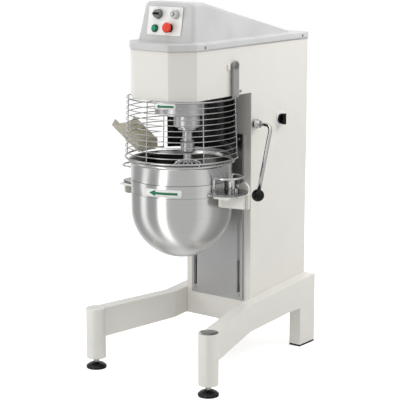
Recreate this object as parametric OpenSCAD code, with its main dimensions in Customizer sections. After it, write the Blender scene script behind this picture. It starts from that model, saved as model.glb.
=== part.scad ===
// Floor-standing planetary mixer with a lifting bowl and a swinging wire guard.
// Millimetres. +Z is up, the control side faces -Y, the floor is z = 0.

/* [Bowl] */
// Outside diameter of the bowl
bowl_d = 400; // [396:1:402]
// Thickness of the bowl wall
bowl_wall = 2.5; // [2:0.5:3]
// Height of the bowl rim above the floor, bowl raised
rim_z = 864; // [862:1:866]
// Depth of the bowl from rim to lowest point
bowl_depth = 394; // [390:1:396]

/* [Body] */
// Width of the column and head
body_w = 326; // [324:1:328]
// Width of the flat front facet of the head
head_front_w = 171; // [168:1:174]
// Height of the underside of the head
head_z = 1110; // [1109:1:1111]
// Height of the top edge of the sheet-metal body
body_top_z = 1299; // [1298:1:1300]
// Height of the bottom edge of the column
column_z = 154; // [150:1:158]
// Thickness of the body sheet
sheet = 3; // [2.5:0.5:3]

/* [Hood] */
// Height of the top of the hood
hood_top_z = 1475; // [1470:1:1480]
// Thickness of the moulded hood
hood_wall = 5; // [4:0.5:6]
// Lean of the control face from the vertical
face_lean = 9.8; // [9:0.1:10.5]

/* [Base] */
// Distance between the centres of the front legs
leg_span = 570; // [566:1:572]
// Diameter of the front leg tubes
leg_d = 78; // [76:0.5:80]
// Height of the top of the front legs
leg_top_z = 253; // [252:1:256]
// Diameter of the rubber feet
foot_d = 82; // [80:1:84]

/* [Guard] */
// Number of hoops in the wire guard
hoops = 12; // [10:1:13]
// Radius of the top hoop
hoop_top_r = 213; // [213:0.5:215]
// Radius of the bottom hoop
hoop_bottom_r = 221; // [220:0.5:223]
// Height of the bottom hoop
hoop_bottom_z = 874; // [873:1:876]

/* [Drive] */
// Teeth of the fixed ring gear
ring_teeth = 51; // [51:1:51]
// Teeth of the planet pinion
planet_teeth = 18; // [18:1:18]
// Module of the planetary gears
planet_module = 3; // [3:1:3]
// Direction of the whisk axis from the bowl axis, bowl at rest
orbit_angle = -23; // [-40:1:0]

/* [Lift] */
// Module of the lift gears
lift_module = 4; // [4:1:4]
// Teeth of the lift gear and of the reduction gear
lift_teeth = 24; // [24:2:24]
// Teeth of the full circle that the sector is cut from
sector_teeth = 60; // [60:1:60]
// Teeth of the lift pinion
pinion_teeth = 12; // [12:1:12]
// Swing of the hand lever from bowl raised to bowl lowered
lever_swing = 84; // [75:1:84]

/* [Hidden] */
$fn = 64;
hull_fn = 24;
running = 0.05;

// Body
bowl_y = -200;
body_hw = body_w / 2;
facet_hw = head_front_w / 2;
column_y = 40;
back_y = 437;
head_y = -390;
chamfer = body_hw - facet_hw;
lip = 4;
lip_top_z = body_top_z + 26.5;
shelf_z = body_top_z - 13;
motor_shelf_t = 8;
shelf_front_y = 240;
head_floor_t = 6;
panel_y = column_y - 10;
panel_hw = 130;
panel_low_z = 253;
panel_top_z = 940;

// Bowl and yoke
bowl_r = bowl_d / 2;
bowl_low_z = rim_z - bowl_depth;
ball_z = bowl_low_z + bowl_r;
ear_z = 744;
ear_t = 8;
yoke_low_z = 673;
yoke_tip_z = 704;
yoke_x = 237;
yoke_t = 10;
arm_x = 110;
slot_w = 14;
slot_low_z = 286;
pin_x = 216;
pin_y = bowl_y + 36;
pin_r = 15;
handle_x = 224;
handle_r = 60;
handle_z = 814;
handle_wire_r = 4.5;
handle_post_a = 110.6;
clamp_x = 258;
clamp_y = bowl_y + 10;
clamp_pin_r = 4;

// Base
leg_x = leg_span / 2;
leg_y = bowl_y - 200;
leg_low_z = 44;
beam_w = 53;
beam_out_x = body_hw + beam_w;
bend_y = -40;
beam_end_y = 441;
rear_leg_y = 331;
pad_t = 8;

// Lift gearing
lever_y = 61;
lever_z = 984;
pinion_r = lift_module * pinion_teeth / 2;
sector_r = lift_module * sector_teeth / 2;
lift_r = lift_module * lift_teeth / 2;
gear_y = lever_y + pinion_r + sector_r;
lift_z = lever_z - 2 * lift_r;
rack_y = gear_y - lift_r;
lift_ratio = sector_teeth / pinion_teeth;
travel = lever_swing * PI / 180 * lift_ratio * lift_r;
rod_x = 70;
rod_y = 95;
rod_r = 15;
rack_x = 12.5;
rack_w = 21.5;
cheek_x = 36;
cheek_t = 12;
shaft_end_x = -60;
sector_x = 104;
sector_w = 18;
carriage_z = 665;
carriage_h = 150;

// Hand lever
knob_x = 245;
knob_y = -26;
knob_z = 716;
knob_r = 25;

// Planetary drive
orbit_r = planet_module * (ring_teeth - planet_teeth) / 2;
ring_r = planet_module * ring_teeth / 2;
planet_r = planet_module * planet_teeth / 2;
orbit_x = orbit_r * cos(orbit_angle);
orbit_y = bowl_y + orbit_r * sin(orbit_angle);
disc_r = 105.5;
disc_low_z = 1041;
case_low_z = 984;
collar_top_z = 944;
collar_low_z = 895;
hub_z = 862;
whisk_r = 112;
whisk_low_z = 502;
whisk_wires_n = 7;
motor_y = 330;
motor_r = 84;
belt_z = body_top_z + 2;
belt_h = 14;
big_pulley_r = 110;
small_pulley_r = 35;

// Guard
pivot_y = bowl_y + 118;
pivot_z = 1229;
arm_in_x = 170;
arm_t = 8;
hoop_top_z = 1107;
hoop_wire_r = 1.8;
gap_half_a = 58;
splash_a = 37;
hoop_start_a = 90 + gap_half_a;
hoop_span_a = 360 - 2 * gap_half_a;
chute_out_x = -310;
chute_out_z = 973;
chute_slope = 34.6;
chute_l = 175;
chute_in_x = -171;
chute_w = 120;
chute_h = 32;

// Control face
face_low_y = -303;
face_low_z = lip_top_z;
plate_w = 165;
plate_h = 109;
plate_x = -8;
plate_v = 80;
plate_t = 2;

// Copies its children to the other side of the YZ plane as well
module both_sides() {
    children();
    mirror([1, 0, 0]) children();
}

// Lays a shape drawn in XY in the YZ plane and extrudes towards +X from x
module across(x) {
    translate([x, 0, 0]) rotate([90, 0, 90]) children();
}

// Round bar along X
module x_bar(x, y, z, r, l) {
    translate([x, y, z]) rotate([0, 90, 0]) cylinder(r = r, h = l);
}

// Round bar between two points
module rod(a, b, r) {
    d = b - a;
    l = norm(d);
    translate(a) rotate([0, acos(d.z / l), atan2(d.y, d.x)]) cylinder(r = r, h = l);
}

// Flat strip in the XY plane between two points, with round ends
module strip(a, b, w) {
    d = b - a;
    translate(a) rotate(atan2(d.y, d.x)) translate([0, -w / 2]) square([norm(d), w]);
    translate(a) circle(d = w);
    translate(b) circle(d = w);
}

// Rounded plate centred on the origin in XY, thickness along Z
module rounded_plate(w, h, t, r) {
    linear_extrude(t) {
        square([w - 2 * r, h], center = true);
        square([w, h - 2 * r], center = true);
        for (x = [-1, 1], y = [-1, 1]) translate([x * (w / 2 - r), y * (h / 2 - r)]) circle(r);
    }
}

// Points of one gear tooth centred on angle a
function tooth(a, pitch, root_r, tip_r, root_part, tip_part) = [
    for (q = [[-root_part, root_r], [-tip_part, tip_r], [tip_part, tip_r], [root_part, root_r]])
        q[1] * [cos(a + q[0] * pitch), sin(a + q[0] * pitch)]
];

// Flat outline of a whole gear, a tooth on the +X axis
function gear_outline(n, m) = [
    for (i = [0:n - 1], p = tooth(360 * i / n, 360 / n, m * n / 2 - m, m * n / 2 + 0.8 * m, 0.27, 0.11)) p
];

module gear(n, m, h, bore) {
    linear_extrude(h) difference() {
        polygon(gear_outline(n, m));
        circle(bore);
    }
}

// Outline of the head and column, grown outward by e
module body_outline(e, front_y, rear_y) {
    k = e * 0.414;
    polygon([
        [-facet_hw - k, front_y - e], [facet_hw + k, front_y - e],
        [body_hw + e, front_y + chamfer - k], [body_hw + e, rear_y + e],
        [-body_hw - e, rear_y + e], [-body_hw - e, front_y + chamfer - k]
    ]);
}

// Puts its children on the leaning control face: u across, v up the face, w outward
module on_face(u, v, w) {
    translate([0, face_low_y, face_low_z]) rotate([90 - face_lean, 0, 0]) translate([u, v, w]) children();
}

module screw(r, h) {
    cylinder(r = r, h = h * 0.6);
    translate([0, 0, h * 0.6]) cylinder(r1 = r, r2 = r * 0.75, h = h * 0.4, $fn = 32);
}

// ---------------------------------------------------------------- base

// Side view of one beam with its rear leg
module rear_beam_side() {
    polygon([
        [bend_y, 150], [bend_y, 259], [beam_end_y, 299], [beam_end_y, pad_t],
        [rear_leg_y, pad_t], [rear_leg_y, 170], [260, 170]
    ]);
}

module side_beam() {
    splay = atan2(leg_x - (body_hw + beam_w / 2), bend_y - leg_y);
    run = (bend_y - leg_y) / cos(splay);
    difference() {
        union() {
            across(body_hw) linear_extrude(beam_w) rear_beam_side();
            translate([leg_x, leg_y, 0]) rotate(splay) across(-beam_w / 2) linear_extrude(beam_w)
                polygon([[0, 130], [run + 8, 150], [run + 8, 259], [0, leg_top_z - 3]]);
        }
        translate([leg_x, leg_y, 0]) cylinder(d = leg_d, h = 300);
        // hollow of the box section, open at the foot of the rear leg
        across(body_hw + 4) linear_extrude(beam_w - 8)
            polygon([
                [bend_y + 20, 156], [bend_y + 20, 254], [beam_end_y - 4, 294.5],
                [beam_end_y - 4, 0], [rear_leg_y + 4, 0], [rear_leg_y + 4, 174], [260, 174]
            ]);
    }
}

module side_beams() {
    color("ivory") both_sides() side_beam();
}

module front_legs() {
    color("ivory") both_sides() translate([leg_x, leg_y, 0]) difference() {
        translate([0, 0, leg_low_z]) cylinder(d = leg_d, h = leg_top_z - 3 - leg_low_z);
        translate([0, 0, leg_low_z + 10]) cylinder(d = leg_d - 6, h = leg_top_z);
        cylinder(r = 8, h = leg_low_z + 20);
    }
}

module leg_caps() {
    color("silver") both_sides() translate([leg_x, leg_y, leg_top_z - 3]) {
        cylinder(d = leg_d, h = 2);
        translate([0, 0, 2]) cylinder(d1 = leg_d, d2 = leg_d - 3, h = 1, $fn = 64);
    }
}

module foot_studs() {
    color("silver") both_sides() translate([leg_x, leg_y, 0]) {
        translate([0, 0, 16]) cylinder(r = 8, h = 70);
        translate([0, 0, 28]) cylinder(r = 13, h = 9, $fn = 6);
        translate([0, 0, 38]) cylinder(r = 16, h = leg_low_z - 38);
    }
}

module foot_pads() {
    color("dimgray") both_sides() {
        translate([leg_x, leg_y, 0]) difference() {
            rotate_extrude() polygon([[0, 0], [foot_d / 2 - 1, 0], [foot_d / 2, 3], [foot_d / 2, 9],
                [foot_d / 2 - 9, 17], [16, 23], [0, 23]]);
            translate([0, 0, 16]) cylinder(r = 8, h = 20);
        }
        translate([body_hw, rear_leg_y, 0]) cube([beam_w, beam_end_y - rear_leg_y, pad_t]);
    }
}

// ---------------------------------------------------------------- body

module column_shell() {
    color("ivory") difference() {
        translate([-body_hw, column_y, column_z])
            cube([body_w, back_y - column_y - sheet, body_top_z - column_z]);
        translate([-body_hw + sheet, column_y + sheet, column_z + 6])
            cube([body_w - 2 * sheet, back_y, shelf_z - motor_shelf_t - column_z - 6]);
        // above the motor shelf, and the way from the head to the shelf
        translate([-body_hw + sheet, column_y + sheet, shelf_z]) cube([body_w - 2 * sheet, back_y, 50]);
        translate([-body_hw + sheet, column_y - 1, head_z + head_floor_t])
            cube([body_w - 2 * sheet, shelf_front_y - column_y + 1, 300]);
        translate([0, motor_y, shelf_z - 12]) cylinder(r = 45, h = 40);
        both_sides() translate([arm_x - slot_w / 2, column_y - 5, slot_low_z])
            cube([slot_w, 20, ear_z + 30 - slot_low_z]);
        // holes for the lever shaft and the cable
        x_bar(body_hw - 10, lever_y, lever_z, 14, 20);
        translate([-90, 380, column_z - 5]) cylinder(r = 10, h = 20);
    }
}

module head_shell() {
    color("ivory") {
        difference() {
            translate([0, 0, head_z]) linear_extrude(body_top_z - head_z) body_outline(0, head_y, column_y);
            translate([0, 0, head_z + head_floor_t]) linear_extrude(body_top_z - head_z)
                body_outline(-sheet, head_y, column_y + 60);
            translate([0, bowl_y, head_z - 5]) cylinder(r = 99.3, h = 20);
        }
        // welded stops for the arms of the guard
        both_sides() translate([body_hw - 1, pivot_y - 41, pivot_z - 16]) cube([7, 14, 22]);
    }
}

module rear_cover() {
    color("ivory") difference() {
        translate([-body_hw, back_y - sheet, column_z]) cube([body_w, sheet, body_top_z - column_z]);
        for (row = [0:9], side = [-1, 1])
            translate([side * 70 - 40, back_y - 10, 1020 + row * 16]) cube([80, 20, 5]);
    }
}

module cover_screws() {
    color("silver") {
        // rear cover
        both_sides() for (z = [column_z + 20, 535, 915, body_top_z - 16])
            translate([body_hw - 12, back_y, z]) rotate([-90, 0, 0]) screw(6, 3.5);
        // hood flange
        both_sides() for (y = [bowl_y - 66, 394])
            translate([body_hw + lip, y, body_top_z + 12]) rotate([0, 90, 0]) screw(5.5, 3);
        // front panel
        both_sides() for (z = [panel_low_z + 20, panel_top_z - 20])
            translate([arm_x, panel_y, z]) rotate([90, 0, 0]) screw(6, 3);
        // guide of the visor on the right of the head
        translate([body_hw, bowl_y + 165, 1124]) rotate([0, 90, 0]) screw(6, 4);
        // column base
        for (y = [column_y + 30, back_y - 60], x = [-body_hw + 25, body_hw - 25])
            translate([x, y, column_z]) rotate([180, 0, 0]) screw(8, 5);
    }
}

// Solid body of the hood, shrunk on all sides by e and reaching down to height low
module hood_body(e, low) {
    r = 20 - e;
    top = hood_top_z - 20;
    hull() {
        for (x = [-120, 120]) {
            for (y = [face_low_y + 20, 330]) translate([x, y, low]) cylinder(r = r, h = 2, $fn = hull_fn);
            translate([x, 322, face_low_z + 6 - e]) cylinder(r = r, h = 2, $fn = hull_fn);
        }
        for (x = [-102, 102], y = [-257, -205]) translate([x, y, top]) sphere(r = r, $fn = hull_fn);
    }
}

module top_cover() {
    color("whitesmoke") difference() {
        union() {
            hood_body(0, face_low_z - 2);
            translate([0, 0, body_top_z]) linear_extrude(lip_top_z - body_top_z) body_outline(lip, head_y, back_y);
        }
        hood_body(hood_wall, body_top_z - 1);
        translate([0, 0, body_top_z - 1]) linear_extrude(lip_top_z - body_top_z - hood_wall + 1)
            body_outline(lip - hood_wall, head_y, back_y);
        // opening behind the control plate
        on_face(plate_x, plate_v, -30) translate([-68, -46, 0]) cube([136, 92, 29.9]);
    }
}

// ---------------------------------------------------------------- controls

timer_uv = [-40, 105];
selector_uv = [43, 106];
start_uv = [-52, 50];
stop_uv = [18, 54];

module control_plate() {
    color("gainsboro") difference() {
        on_face(plate_x, plate_v, 0) rounded_plate(plate_w, plate_h, plate_t, 6);
        for (c = [timer_uv, selector_uv]) on_face(c.x, c.y, -5) cylinder(r = 4, h = 20);
        for (c = [start_uv, stop_uv]) on_face(c.x, c.y, -5) cylinder(r = 11.5, h = 20);
    }
}

module bezel(outer) {
    difference() {
        translate([0, 0, -12]) {
            cylinder(r = 11, h = 12);
            translate([0, 0, 12]) cylinder(r = outer, h = 5);
        }
        translate([0, 0, -20]) cylinder(r = 9.05, h = 40);
    }
}

module control_bezels() {
    color("dimgray") {
        on_face(start_uv.x, start_uv.y, plate_t) bezel(15);
        on_face(stop_uv.x, stop_uv.y, plate_t) bezel(17);
    }
}

module timer_knob() {
    color("gray") on_face(timer_uv.x, timer_uv.y, plate_t) {
        translate([0, 0, 0.4]) cylinder(r = 19.5, h = 5);
        translate([0, 0, 5.4]) cylinder(r1 = 18, r2 = 16.5, h = 14, $fn = 64);
        translate([-3, -15, 19.4]) cube([6, 32, 3]);
        translate([0, 0, -8]) cylinder(r = 3.9, h = 9);
    }
}

module selector_knob() {
    color("white") on_face(selector_uv.x, selector_uv.y, plate_t) {
        translate([0, 0, 0.4]) cylinder(r = 18, h = 4);
        translate([0, 0, 4.4]) rotate(22.5) cylinder(r = 16.5, h = 13, $fn = 8);
        translate([0, 0, -8]) cylinder(r = 3.9, h = 9);
    }
}

module start_button() {
    color("green") on_face(start_uv.x, start_uv.y, plate_t) {
        translate([0, 0, -10]) cylinder(r = 9, h = 19);
        translate([0, 0, 9]) cylinder(r1 = 9, r2 = 7.5, h = 1.5, $fn = 64);
    }
}

module stop_button() {
    color("red") on_face(stop_uv.x, stop_uv.y, plate_t) {
        translate([0, 0, -10]) cylinder(r = 9, h = 24);
        translate([0, 0, 12]) cylinder(r = 18, h = 3);
        translate([0, 0, 15]) cylinder(r = 20, h = 5);
        translate([0, 0, 20]) cylinder(r1 = 20, r2 = 15, h = 4, $fn = 64);
    }
}

switch_y = 241;
switch_z = 984;

module switch_plate() {
    color("silver") difference() {
        translate([body_hw, switch_y, switch_z]) rotate([90, 0, 90]) rounded_plate(50, 58, 3, 4);
        x_bar(body_hw - 5, switch_y, switch_z, 9.05, 20);
    }
}

module main_switch() {
    color("dimgray") {
        x_bar(body_hw + 0.5, switch_y, switch_z, 9, 3);
        x_bar(body_hw + 3.4, switch_y, switch_z, 20, 8);
        translate([body_hw + 11.4, switch_y - 6, switch_z - 22]) cube([16, 12, 44]);
    }
}

module cable_gland() {
    color("dimgray") translate([-90, 380, column_z]) difference() {
        union() {
            translate([0, 0, -16]) cylinder(r = 13, h = 16, $fn = 6);
            translate([0, 0, -26]) cylinder(r = 11, h = 10);
            cylinder(r = 9.9, h = 14);
        }
        translate([0, 0, -30]) cylinder(r = 5, h = 60);
    }
}

// ---------------------------------------------------------------- front panel and lift

module front_panel() {
    color("darkgray") difference() {
        translate([-panel_hw, panel_y, panel_low_z]) cube([2 * panel_hw, column_y - panel_y, panel_top_z - panel_low_z]);
        translate([-panel_hw + 2, panel_y + 2, panel_low_z + 2])
            cube([2 * panel_hw - 4, 20, panel_top_z - panel_low_z - 4]);
        both_sides() translate([arm_x - slot_w / 2, panel_y - 5, slot_low_z])
            cube([slot_w, 20, ear_z + 30 - slot_low_z]);
    }
}

module guide_rods() {
    color("silver") both_sides() translate([rod_x, rod_y, 190]) cylinder(r = rod_r, h = head_z - 12 - 190);
}

// Plate on the column's front wall that holds both rods, notched for the rack
module rod_bracket(z) {
    difference() {
        translate([-97, column_y + sheet, z]) cube([194, 80, 20]);
        both_sides() translate([rod_x, rod_y, z - 5]) cylinder(r = rod_r, h = 30);
        translate([-40, column_y + sheet + 26, z - 5]) cube([80, 100, 30]);
    }
}

module rod_brackets() {
    color("dimgray") {
        rod_bracket(200);
        rod_bracket(head_z - 34);
    }
}

module carriage() {
    color("dimgray") difference() {
        union() {
            translate([-100, 76, carriage_z]) cube([200, 38, carriage_h]);
            both_sides() translate([rod_x, rod_y, carriage_z]) cylinder(r = 27, h = carriage_h);
            both_sides() translate([96, 68, yoke_low_z]) cube([19, 44, ear_z - yoke_low_z]);
        }
        both_sides() translate([rod_x, rod_y, carriage_z - 5]) cylinder(r = rod_r + running, h = carriage_h + 10);
        translate([-30, 70, carriage_z + 25]) cube([60, 26, carriage_h - 50]);
    }
}

rack_low_z = carriage_z + 15;
rack_top_z = lift_z + travel + 12;

module lift_rack() {
    p = PI * lift_module;
    first = -1;
    last = floor((rack_top_z - lift_z) / p - 0.4);
    root = rack_y - lift_module;
    tip = rack_y + 0.8 * lift_module;
    color("silver") across(rack_x) linear_extrude(rack_w) polygon(concat(
        [[114, rack_top_z], [114, rack_low_z], [root, rack_low_z]],
        [for (i = [first:last], q = [[-0.27, root], [-0.11, tip], [0.11, tip], [0.27, root]])
            [q[1], lift_z + (i + q[0]) * p]],
        [[root, rack_top_z]]
    ));
}

// Space under the side run of the yoke, which rises to a rounded tip
module yoke_underside() {
    back = bowl_y + 85;
    tip = bowl_y - 56;
    slope = (yoke_tip_z - yoke_low_z) / (back - tip);
    translate([yoke_x - 60, 0, yoke_low_z]) rotate([90, 0, 90]) linear_extrude(90) polygon([
        [back + 10, -10 * slope],
        [tip, (back - tip) * slope],
        [tip - 8, (back - tip) * slope + 3],
        [tip - 13, (back - tip) * slope + 10],
        [tip - 20, (back - tip) * slope + 36],
        [tip - 20, -60],
        [back + 10, -60],
    ]);
}

module bowl_yoke() {
    h = ear_z - 8 - yoke_low_z;
    color("ivory") both_sides() difference() {
        union() {
            translate([0, 0, yoke_low_z]) linear_extrude(h) {
                strip([arm_x, 72], [arm_x, 20], yoke_t);
                strip([arm_x, 20], [yoke_x, bowl_y + 92], yoke_t);
                strip([yoke_x, bowl_y + 92], [yoke_x, bowl_y - 66], yoke_t);
            }
            // seat for the bowl ear
            translate([206, bowl_y - 66, ear_z - 8]) cube([60, 158, 8]);
            // upright behind the ear
            translate([207, bowl_y + 96, yoke_low_z]) cube([48, 8, 80]);
            translate([231, bowl_y + 96, yoke_low_z + 80]) rotate([-90, 0, 0]) cylinder(r = 24, h = 8);
        }
        translate([0, bowl_y, ball_z]) cylinder(r = bowl_r + 2, h = 200);
        translate([arm_x - 20, 68, yoke_low_z - 5]) cube([60, 60, 90]);
        translate([pin_x, pin_y, 700]) cylinder(r = 8, h = 80);
        translate([clamp_x, clamp_y, 700]) cylinder(r = clamp_pin_r + running, h = 80);
        yoke_underside();
    }
}

module locating_pins() {
    color("silver") both_sides() translate([pin_x, pin_y, 0]) {
        translate([0, 0, ear_z - 24]) cylinder(r = 8, h = 24);
        translate([0, 0, ear_z]) cylinder(r = pin_r, h = 46);
        translate([0, 0, ear_z + 46]) cylinder(r1 = pin_r, r2 = pin_r - 4, h = 4, $fn = 48);
    }
}

// ---------------------------------------------------------------- bowl

module bowl() {
    inner = bowl_r - bowl_wall;
    color("silver") translate([0, bowl_y, 0]) difference() {
        union() {
            translate([0, 0, ball_z]) sphere(r = bowl_r);
            translate([0, 0, ball_z]) cylinder(r = bowl_r, h = rim_z - ball_z);
            translate([0, 0, rim_z - 5]) rotate_extrude() translate([bowl_r + 6.5, 0]) circle(r = 5, $fn = 32);
            translate([0, 0, rim_z - 4]) cylinder(r = bowl_r + 5, h = 2.5);
        }
        translate([0, 0, ball_z]) sphere(r = inner);
        translate([0, 0, ball_z]) cylinder(r = inner, h = 400);
    }
}

module bowl_ears() {
    color("silver") both_sides() difference() {
        translate([0, bowl_y, ear_z]) linear_extrude(ear_t)
            polygon([[150, -80], [194, -74], [256, -48], [278, -30], [283, -10], [283, 46], [274, 68],
                [250, 86], [180, 92], [150, 60]]);
        translate([0, bowl_y, ear_z - 5]) cylinder(r = bowl_r, h = 30);
        translate([pin_x, pin_y, ear_z - 5]) cylinder(r = pin_r + running, h = 30);
        translate([clamp_x, clamp_y, ear_z - 5]) cylinder(r = clamp_pin_r + running, h = 30);
    }
}

module bowl_handles() {
    post = [handle_x + handle_r * cos(handle_post_a), handle_r * sin(handle_post_a)];
    color("silver") both_sides() {
        translate([handle_x, bowl_y, handle_z]) rotate(-handle_post_a)
            rotate_extrude(angle = 2 * handle_post_a) translate([handle_r, 0]) circle(r = handle_wire_r, $fn = 32);
        for (s = [-1, 1]) translate([post.x, bowl_y + s * post.y, ear_z + ear_t])
            cylinder(r = handle_wire_r + 0.8, h = handle_z + handle_wire_r + 0.8 - ear_z - ear_t);
    }
}

// Curved plate wrapped round the bowl axis
module wrapped_plate(r, t, z, h, a0, span) {
    translate([0, bowl_y, z]) rotate(a0) rotate_extrude(angle = span) translate([r, 0]) square([t, h]);
}

module bowl_label() {
    color("white") wrapped_plate(bowl_r, 0.8, 742, 31, -95, 43);
}

module bowl_clamp() {
    translate([clamp_x, clamp_y, 0]) difference() {
        union() {
            translate([0, 0, ear_z - 12]) cylinder(r = clamp_pin_r, h = 26);
            translate([0, 0, ear_z - 12]) cylinder(r = 7, h = 3.7);
            translate([0, 0, ear_z + ear_t + 0.3]) cylinder(r = 8, h = 9);
            translate([-22, -5, ear_z + ear_t + 9.3]) cube([24, 10, 4]);
            translate([-22, 0, ear_z + ear_t + 9.3]) cylinder(r = 7, h = 4);
            translate([0, 0, ear_z + ear_t + 9.3]) cylinder(r = 7, h = 10);
        }
        translate([-22, 0, ear_z]) cylinder(r = 3.5, h = 40);
    }
}

module clamp_right() {
    color("silver") bowl_clamp();
}

module clamp_left() {
    color("silver") mirror([1, 0, 0]) bowl_clamp();
}

// ---------------------------------------------------------------- lever and gears

// Block on the right wall for the lever shaft and the long gear shaft
module lever_bearing() {
    difference() {
        translate([body_hw - sheet - 30, column_y + sheet, lever_z - 22]) cube([30, gear_y - column_y + 20, 44]);
        translate([body_hw - sheet - 35, lever_y + 22, lever_z - 14]) cube([20, gear_y - lever_y - 44, 28]);
        x_bar(body_hw - 50, lever_y, lever_z, 12.5 + running, 60);
        x_bar(body_hw - 50, gear_y, lever_z, 10 + running, 60);
    }
}

// Cross plate with two cheeks for the lift gear and the long gear shaft
module gear_cheeks() {
    cheek_z = lift_z - 26;
    difference() {
        union() {
            translate([-body_hw + sheet, gear_y + 56, cheek_z]) cube([body_w - 2 * sheet, 6, 150]);
            both_sides() translate([cheek_x, gear_y - 20, cheek_z]) cube([cheek_t, 77, 150]);
        }
        x_bar(shaft_end_x, gear_y, lever_z, 10 + running, 120);
        x_bar(shaft_end_x, gear_y, lift_z, 10 + running, 120);
    }
}

module gear_bearings() {
    color("dimgray") {
        lever_bearing();
        gear_cheeks();
    }
}

module lever_shaft() {
    color("silver") x_bar(sector_x - 8, lever_y, lever_z, 12.5, body_hw + 1 - sector_x + 8);
}

module sector_gear() {
    n = sector_teeth;
    m = lift_module;
    color("dimgray") translate([0, lever_y, lever_z]) across(sector_x) linear_extrude(sector_w) difference() {
        union() {
            circle(17);
            polygon(concat(
                [[0, 0]],
                [for (i = [-16:1], p = tooth(360 * i / n, 360 / n, sector_r - m, sector_r + 0.8 * m, 0.27, 0.11)) p]
            ));
        }
        circle(12.5);
    }
}

module lever_arm() {
    elbow = [knob_x, lever_y, lever_z];
    knob = [knob_x, knob_y, knob_z];
    along = (knob - elbow) / norm(knob - elbow);
    color("silver") {
        x_bar(body_hw + 1, lever_y, lever_z, 19, 28);
        x_bar(body_hw + 29, lever_y, lever_z, 8, knob_x - body_hw - 29);
        translate(elbow) sphere(r = 8);
        rod(elbow, knob - 10 * along, 8);
    }
}

module lever_knob() {
    elbow = [knob_x, lever_y, lever_z];
    knob = [knob_x, knob_y, knob_z];
    along = (knob - elbow) / norm(knob - elbow);
    color("black") difference() {
        translate(knob) sphere(r = knob_r);
        rod(knob - 40 * along, knob - 10 * along, 8);
    }
}

module cluster_gear() {
    color("silver") translate([0, gear_y, lever_z]) {
        x_bar(shaft_end_x, 0, 0, 10, body_hw - sheet - 4 - shaft_end_x);
        across(sector_x) rotate(15) gear(pinion_teeth, lift_module, sector_w, 9);
        across(-10) rotate(0) gear(lift_teeth, lift_module, 20, 9);
    }
}

module lift_gear() {
    color("silver") translate([0, gear_y, lift_z]) {
        x_bar(shaft_end_x, 0, 0, 10, -2 * shaft_end_x);
        across(-10) rotate(7.5) gear(lift_teeth, lift_module, 44, 9);
    }
}

// ---------------------------------------------------------------- planetary head

module head_housing() {
    color("dimgray") translate([0, bowl_y, 0]) difference() {
        union() {
            translate([0, 0, head_z + 6]) cylinder(r = 125, h = 10);
            translate([0, 0, head_z + 16]) cylinder(r = 62, h = 110);
        }
        translate([0, 0, head_z]) cylinder(r = 40, h = 140);
        translate([0, 0, head_z + 16]) cylinder(r = 45, h = 20);
        translate([0, 0, head_z + 106]) cylinder(r = 45, h = 20);
    }
}

module main_bearings() {
    color("silver") translate([0, bowl_y, 0]) for (z = [head_z + 16, head_z + 106]) difference() {
        translate([0, 0, z]) cylinder(r = 45, h = 20);
        translate([0, 0, z - 5]) cylinder(r = 17.5 + running, h = 30);
    }
}

module ring_gear() {
    n = ring_teeth;
    m = planet_module;
    color("dimgray") translate([0, bowl_y, 0]) difference() {
        translate([0, 0, 1064]) cylinder(r = 97, h = head_z + 6 - 1064);
        translate([0, 0, 1060]) linear_extrude(30) rotate(orbit_angle) polygon([
            for (i = [0:n - 1], p = tooth(360 * i / n, 360 / n, ring_r - 0.8 * m, ring_r + m, 0.40, 0.20)) p
        ]);
        translate([0, 0, 1089]) cylinder(r = 84, h = 60);
    }
}

module input_shaft() {
    color("silver") translate([0, bowl_y, disc_low_z + 12]) cylinder(r = 17.5, h = belt_z + belt_h + 6 - disc_low_z - 12);
}

module pulley(r, bore) {
    difference() {
        union() {
            cylinder(r = r + 4, h = 2.5);
            cylinder(r = r, h = belt_h + 5);
            translate([0, 0, belt_h + 2.5]) cylinder(r = r + 4, h = 2.5);
        }
        translate([0, 0, -5]) cylinder(r = bore, h = 40);
    }
}

module drive_pulley() {
    color("dimgray") translate([0, bowl_y, belt_z - 2.5]) difference() {
        pulley(big_pulley_r, 17.5);
        for (a = [0:60:300]) rotate(a) translate([62, 0, -5]) cylinder(r = 22, h = 40);
    }
}

module motor_pulley() {
    color("dimgray") translate([0, motor_y, 0]) {
        translate([0, 0, belt_z - 2.5]) pulley(small_pulley_r, 12);
        translate([0, 0, shelf_z - 20]) cylinder(r = 12, h = belt_z + belt_h - shelf_z + 20);
    }
}

module belt_outline(extra) {
    hull() {
        translate([0, bowl_y]) circle(big_pulley_r + extra, $fn = 96);
        translate([0, motor_y]) circle(small_pulley_r + extra, $fn = 64);
    }
}

module drive_belt() {
    color("black") translate([0, 0, belt_z + 1]) linear_extrude(belt_h - 2) difference() {
        belt_outline(7);
        belt_outline(0.5);
    }
}

module motor() {
    low = 1045;
    color("slategray") translate([0, motor_y, 0]) difference() {
        union() {
            translate([0, 0, low]) cylinder(r = motor_r - 8, h = shelf_z - 22 - low);
            for (z = [low + 16:14:shelf_z - 34]) translate([0, 0, z]) cylinder(r = motor_r, h = 4);
            translate([0, 0, shelf_z - 20]) cylinder(r = 82, h = 12);
            translate([0, 0, shelf_z - 22]) cylinder(r = 70, h = 4);
            translate([-30, -motor_r - 12, low + 70]) cube([60, 30, 90]);
        }
        translate([0, 0, shelf_z - 40]) cylinder(r = 12 + running, h = 60);
    }
}

module planet_disc() {
    color("silver") translate([0, bowl_y, 0]) difference() {
        translate([0, 0, disc_low_z]) cylinder(r = disc_r, h = head_z - 2 - disc_low_z);
        translate([0, 0, disc_low_z + 12]) cylinder(r = disc_r - 5, h = 100);
        translate([0, 0, disc_low_z - 5]) rotate(orbit_angle) translate([orbit_r, 0]) cylinder(r = 14 + running, h = 30);
    }
}

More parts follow.
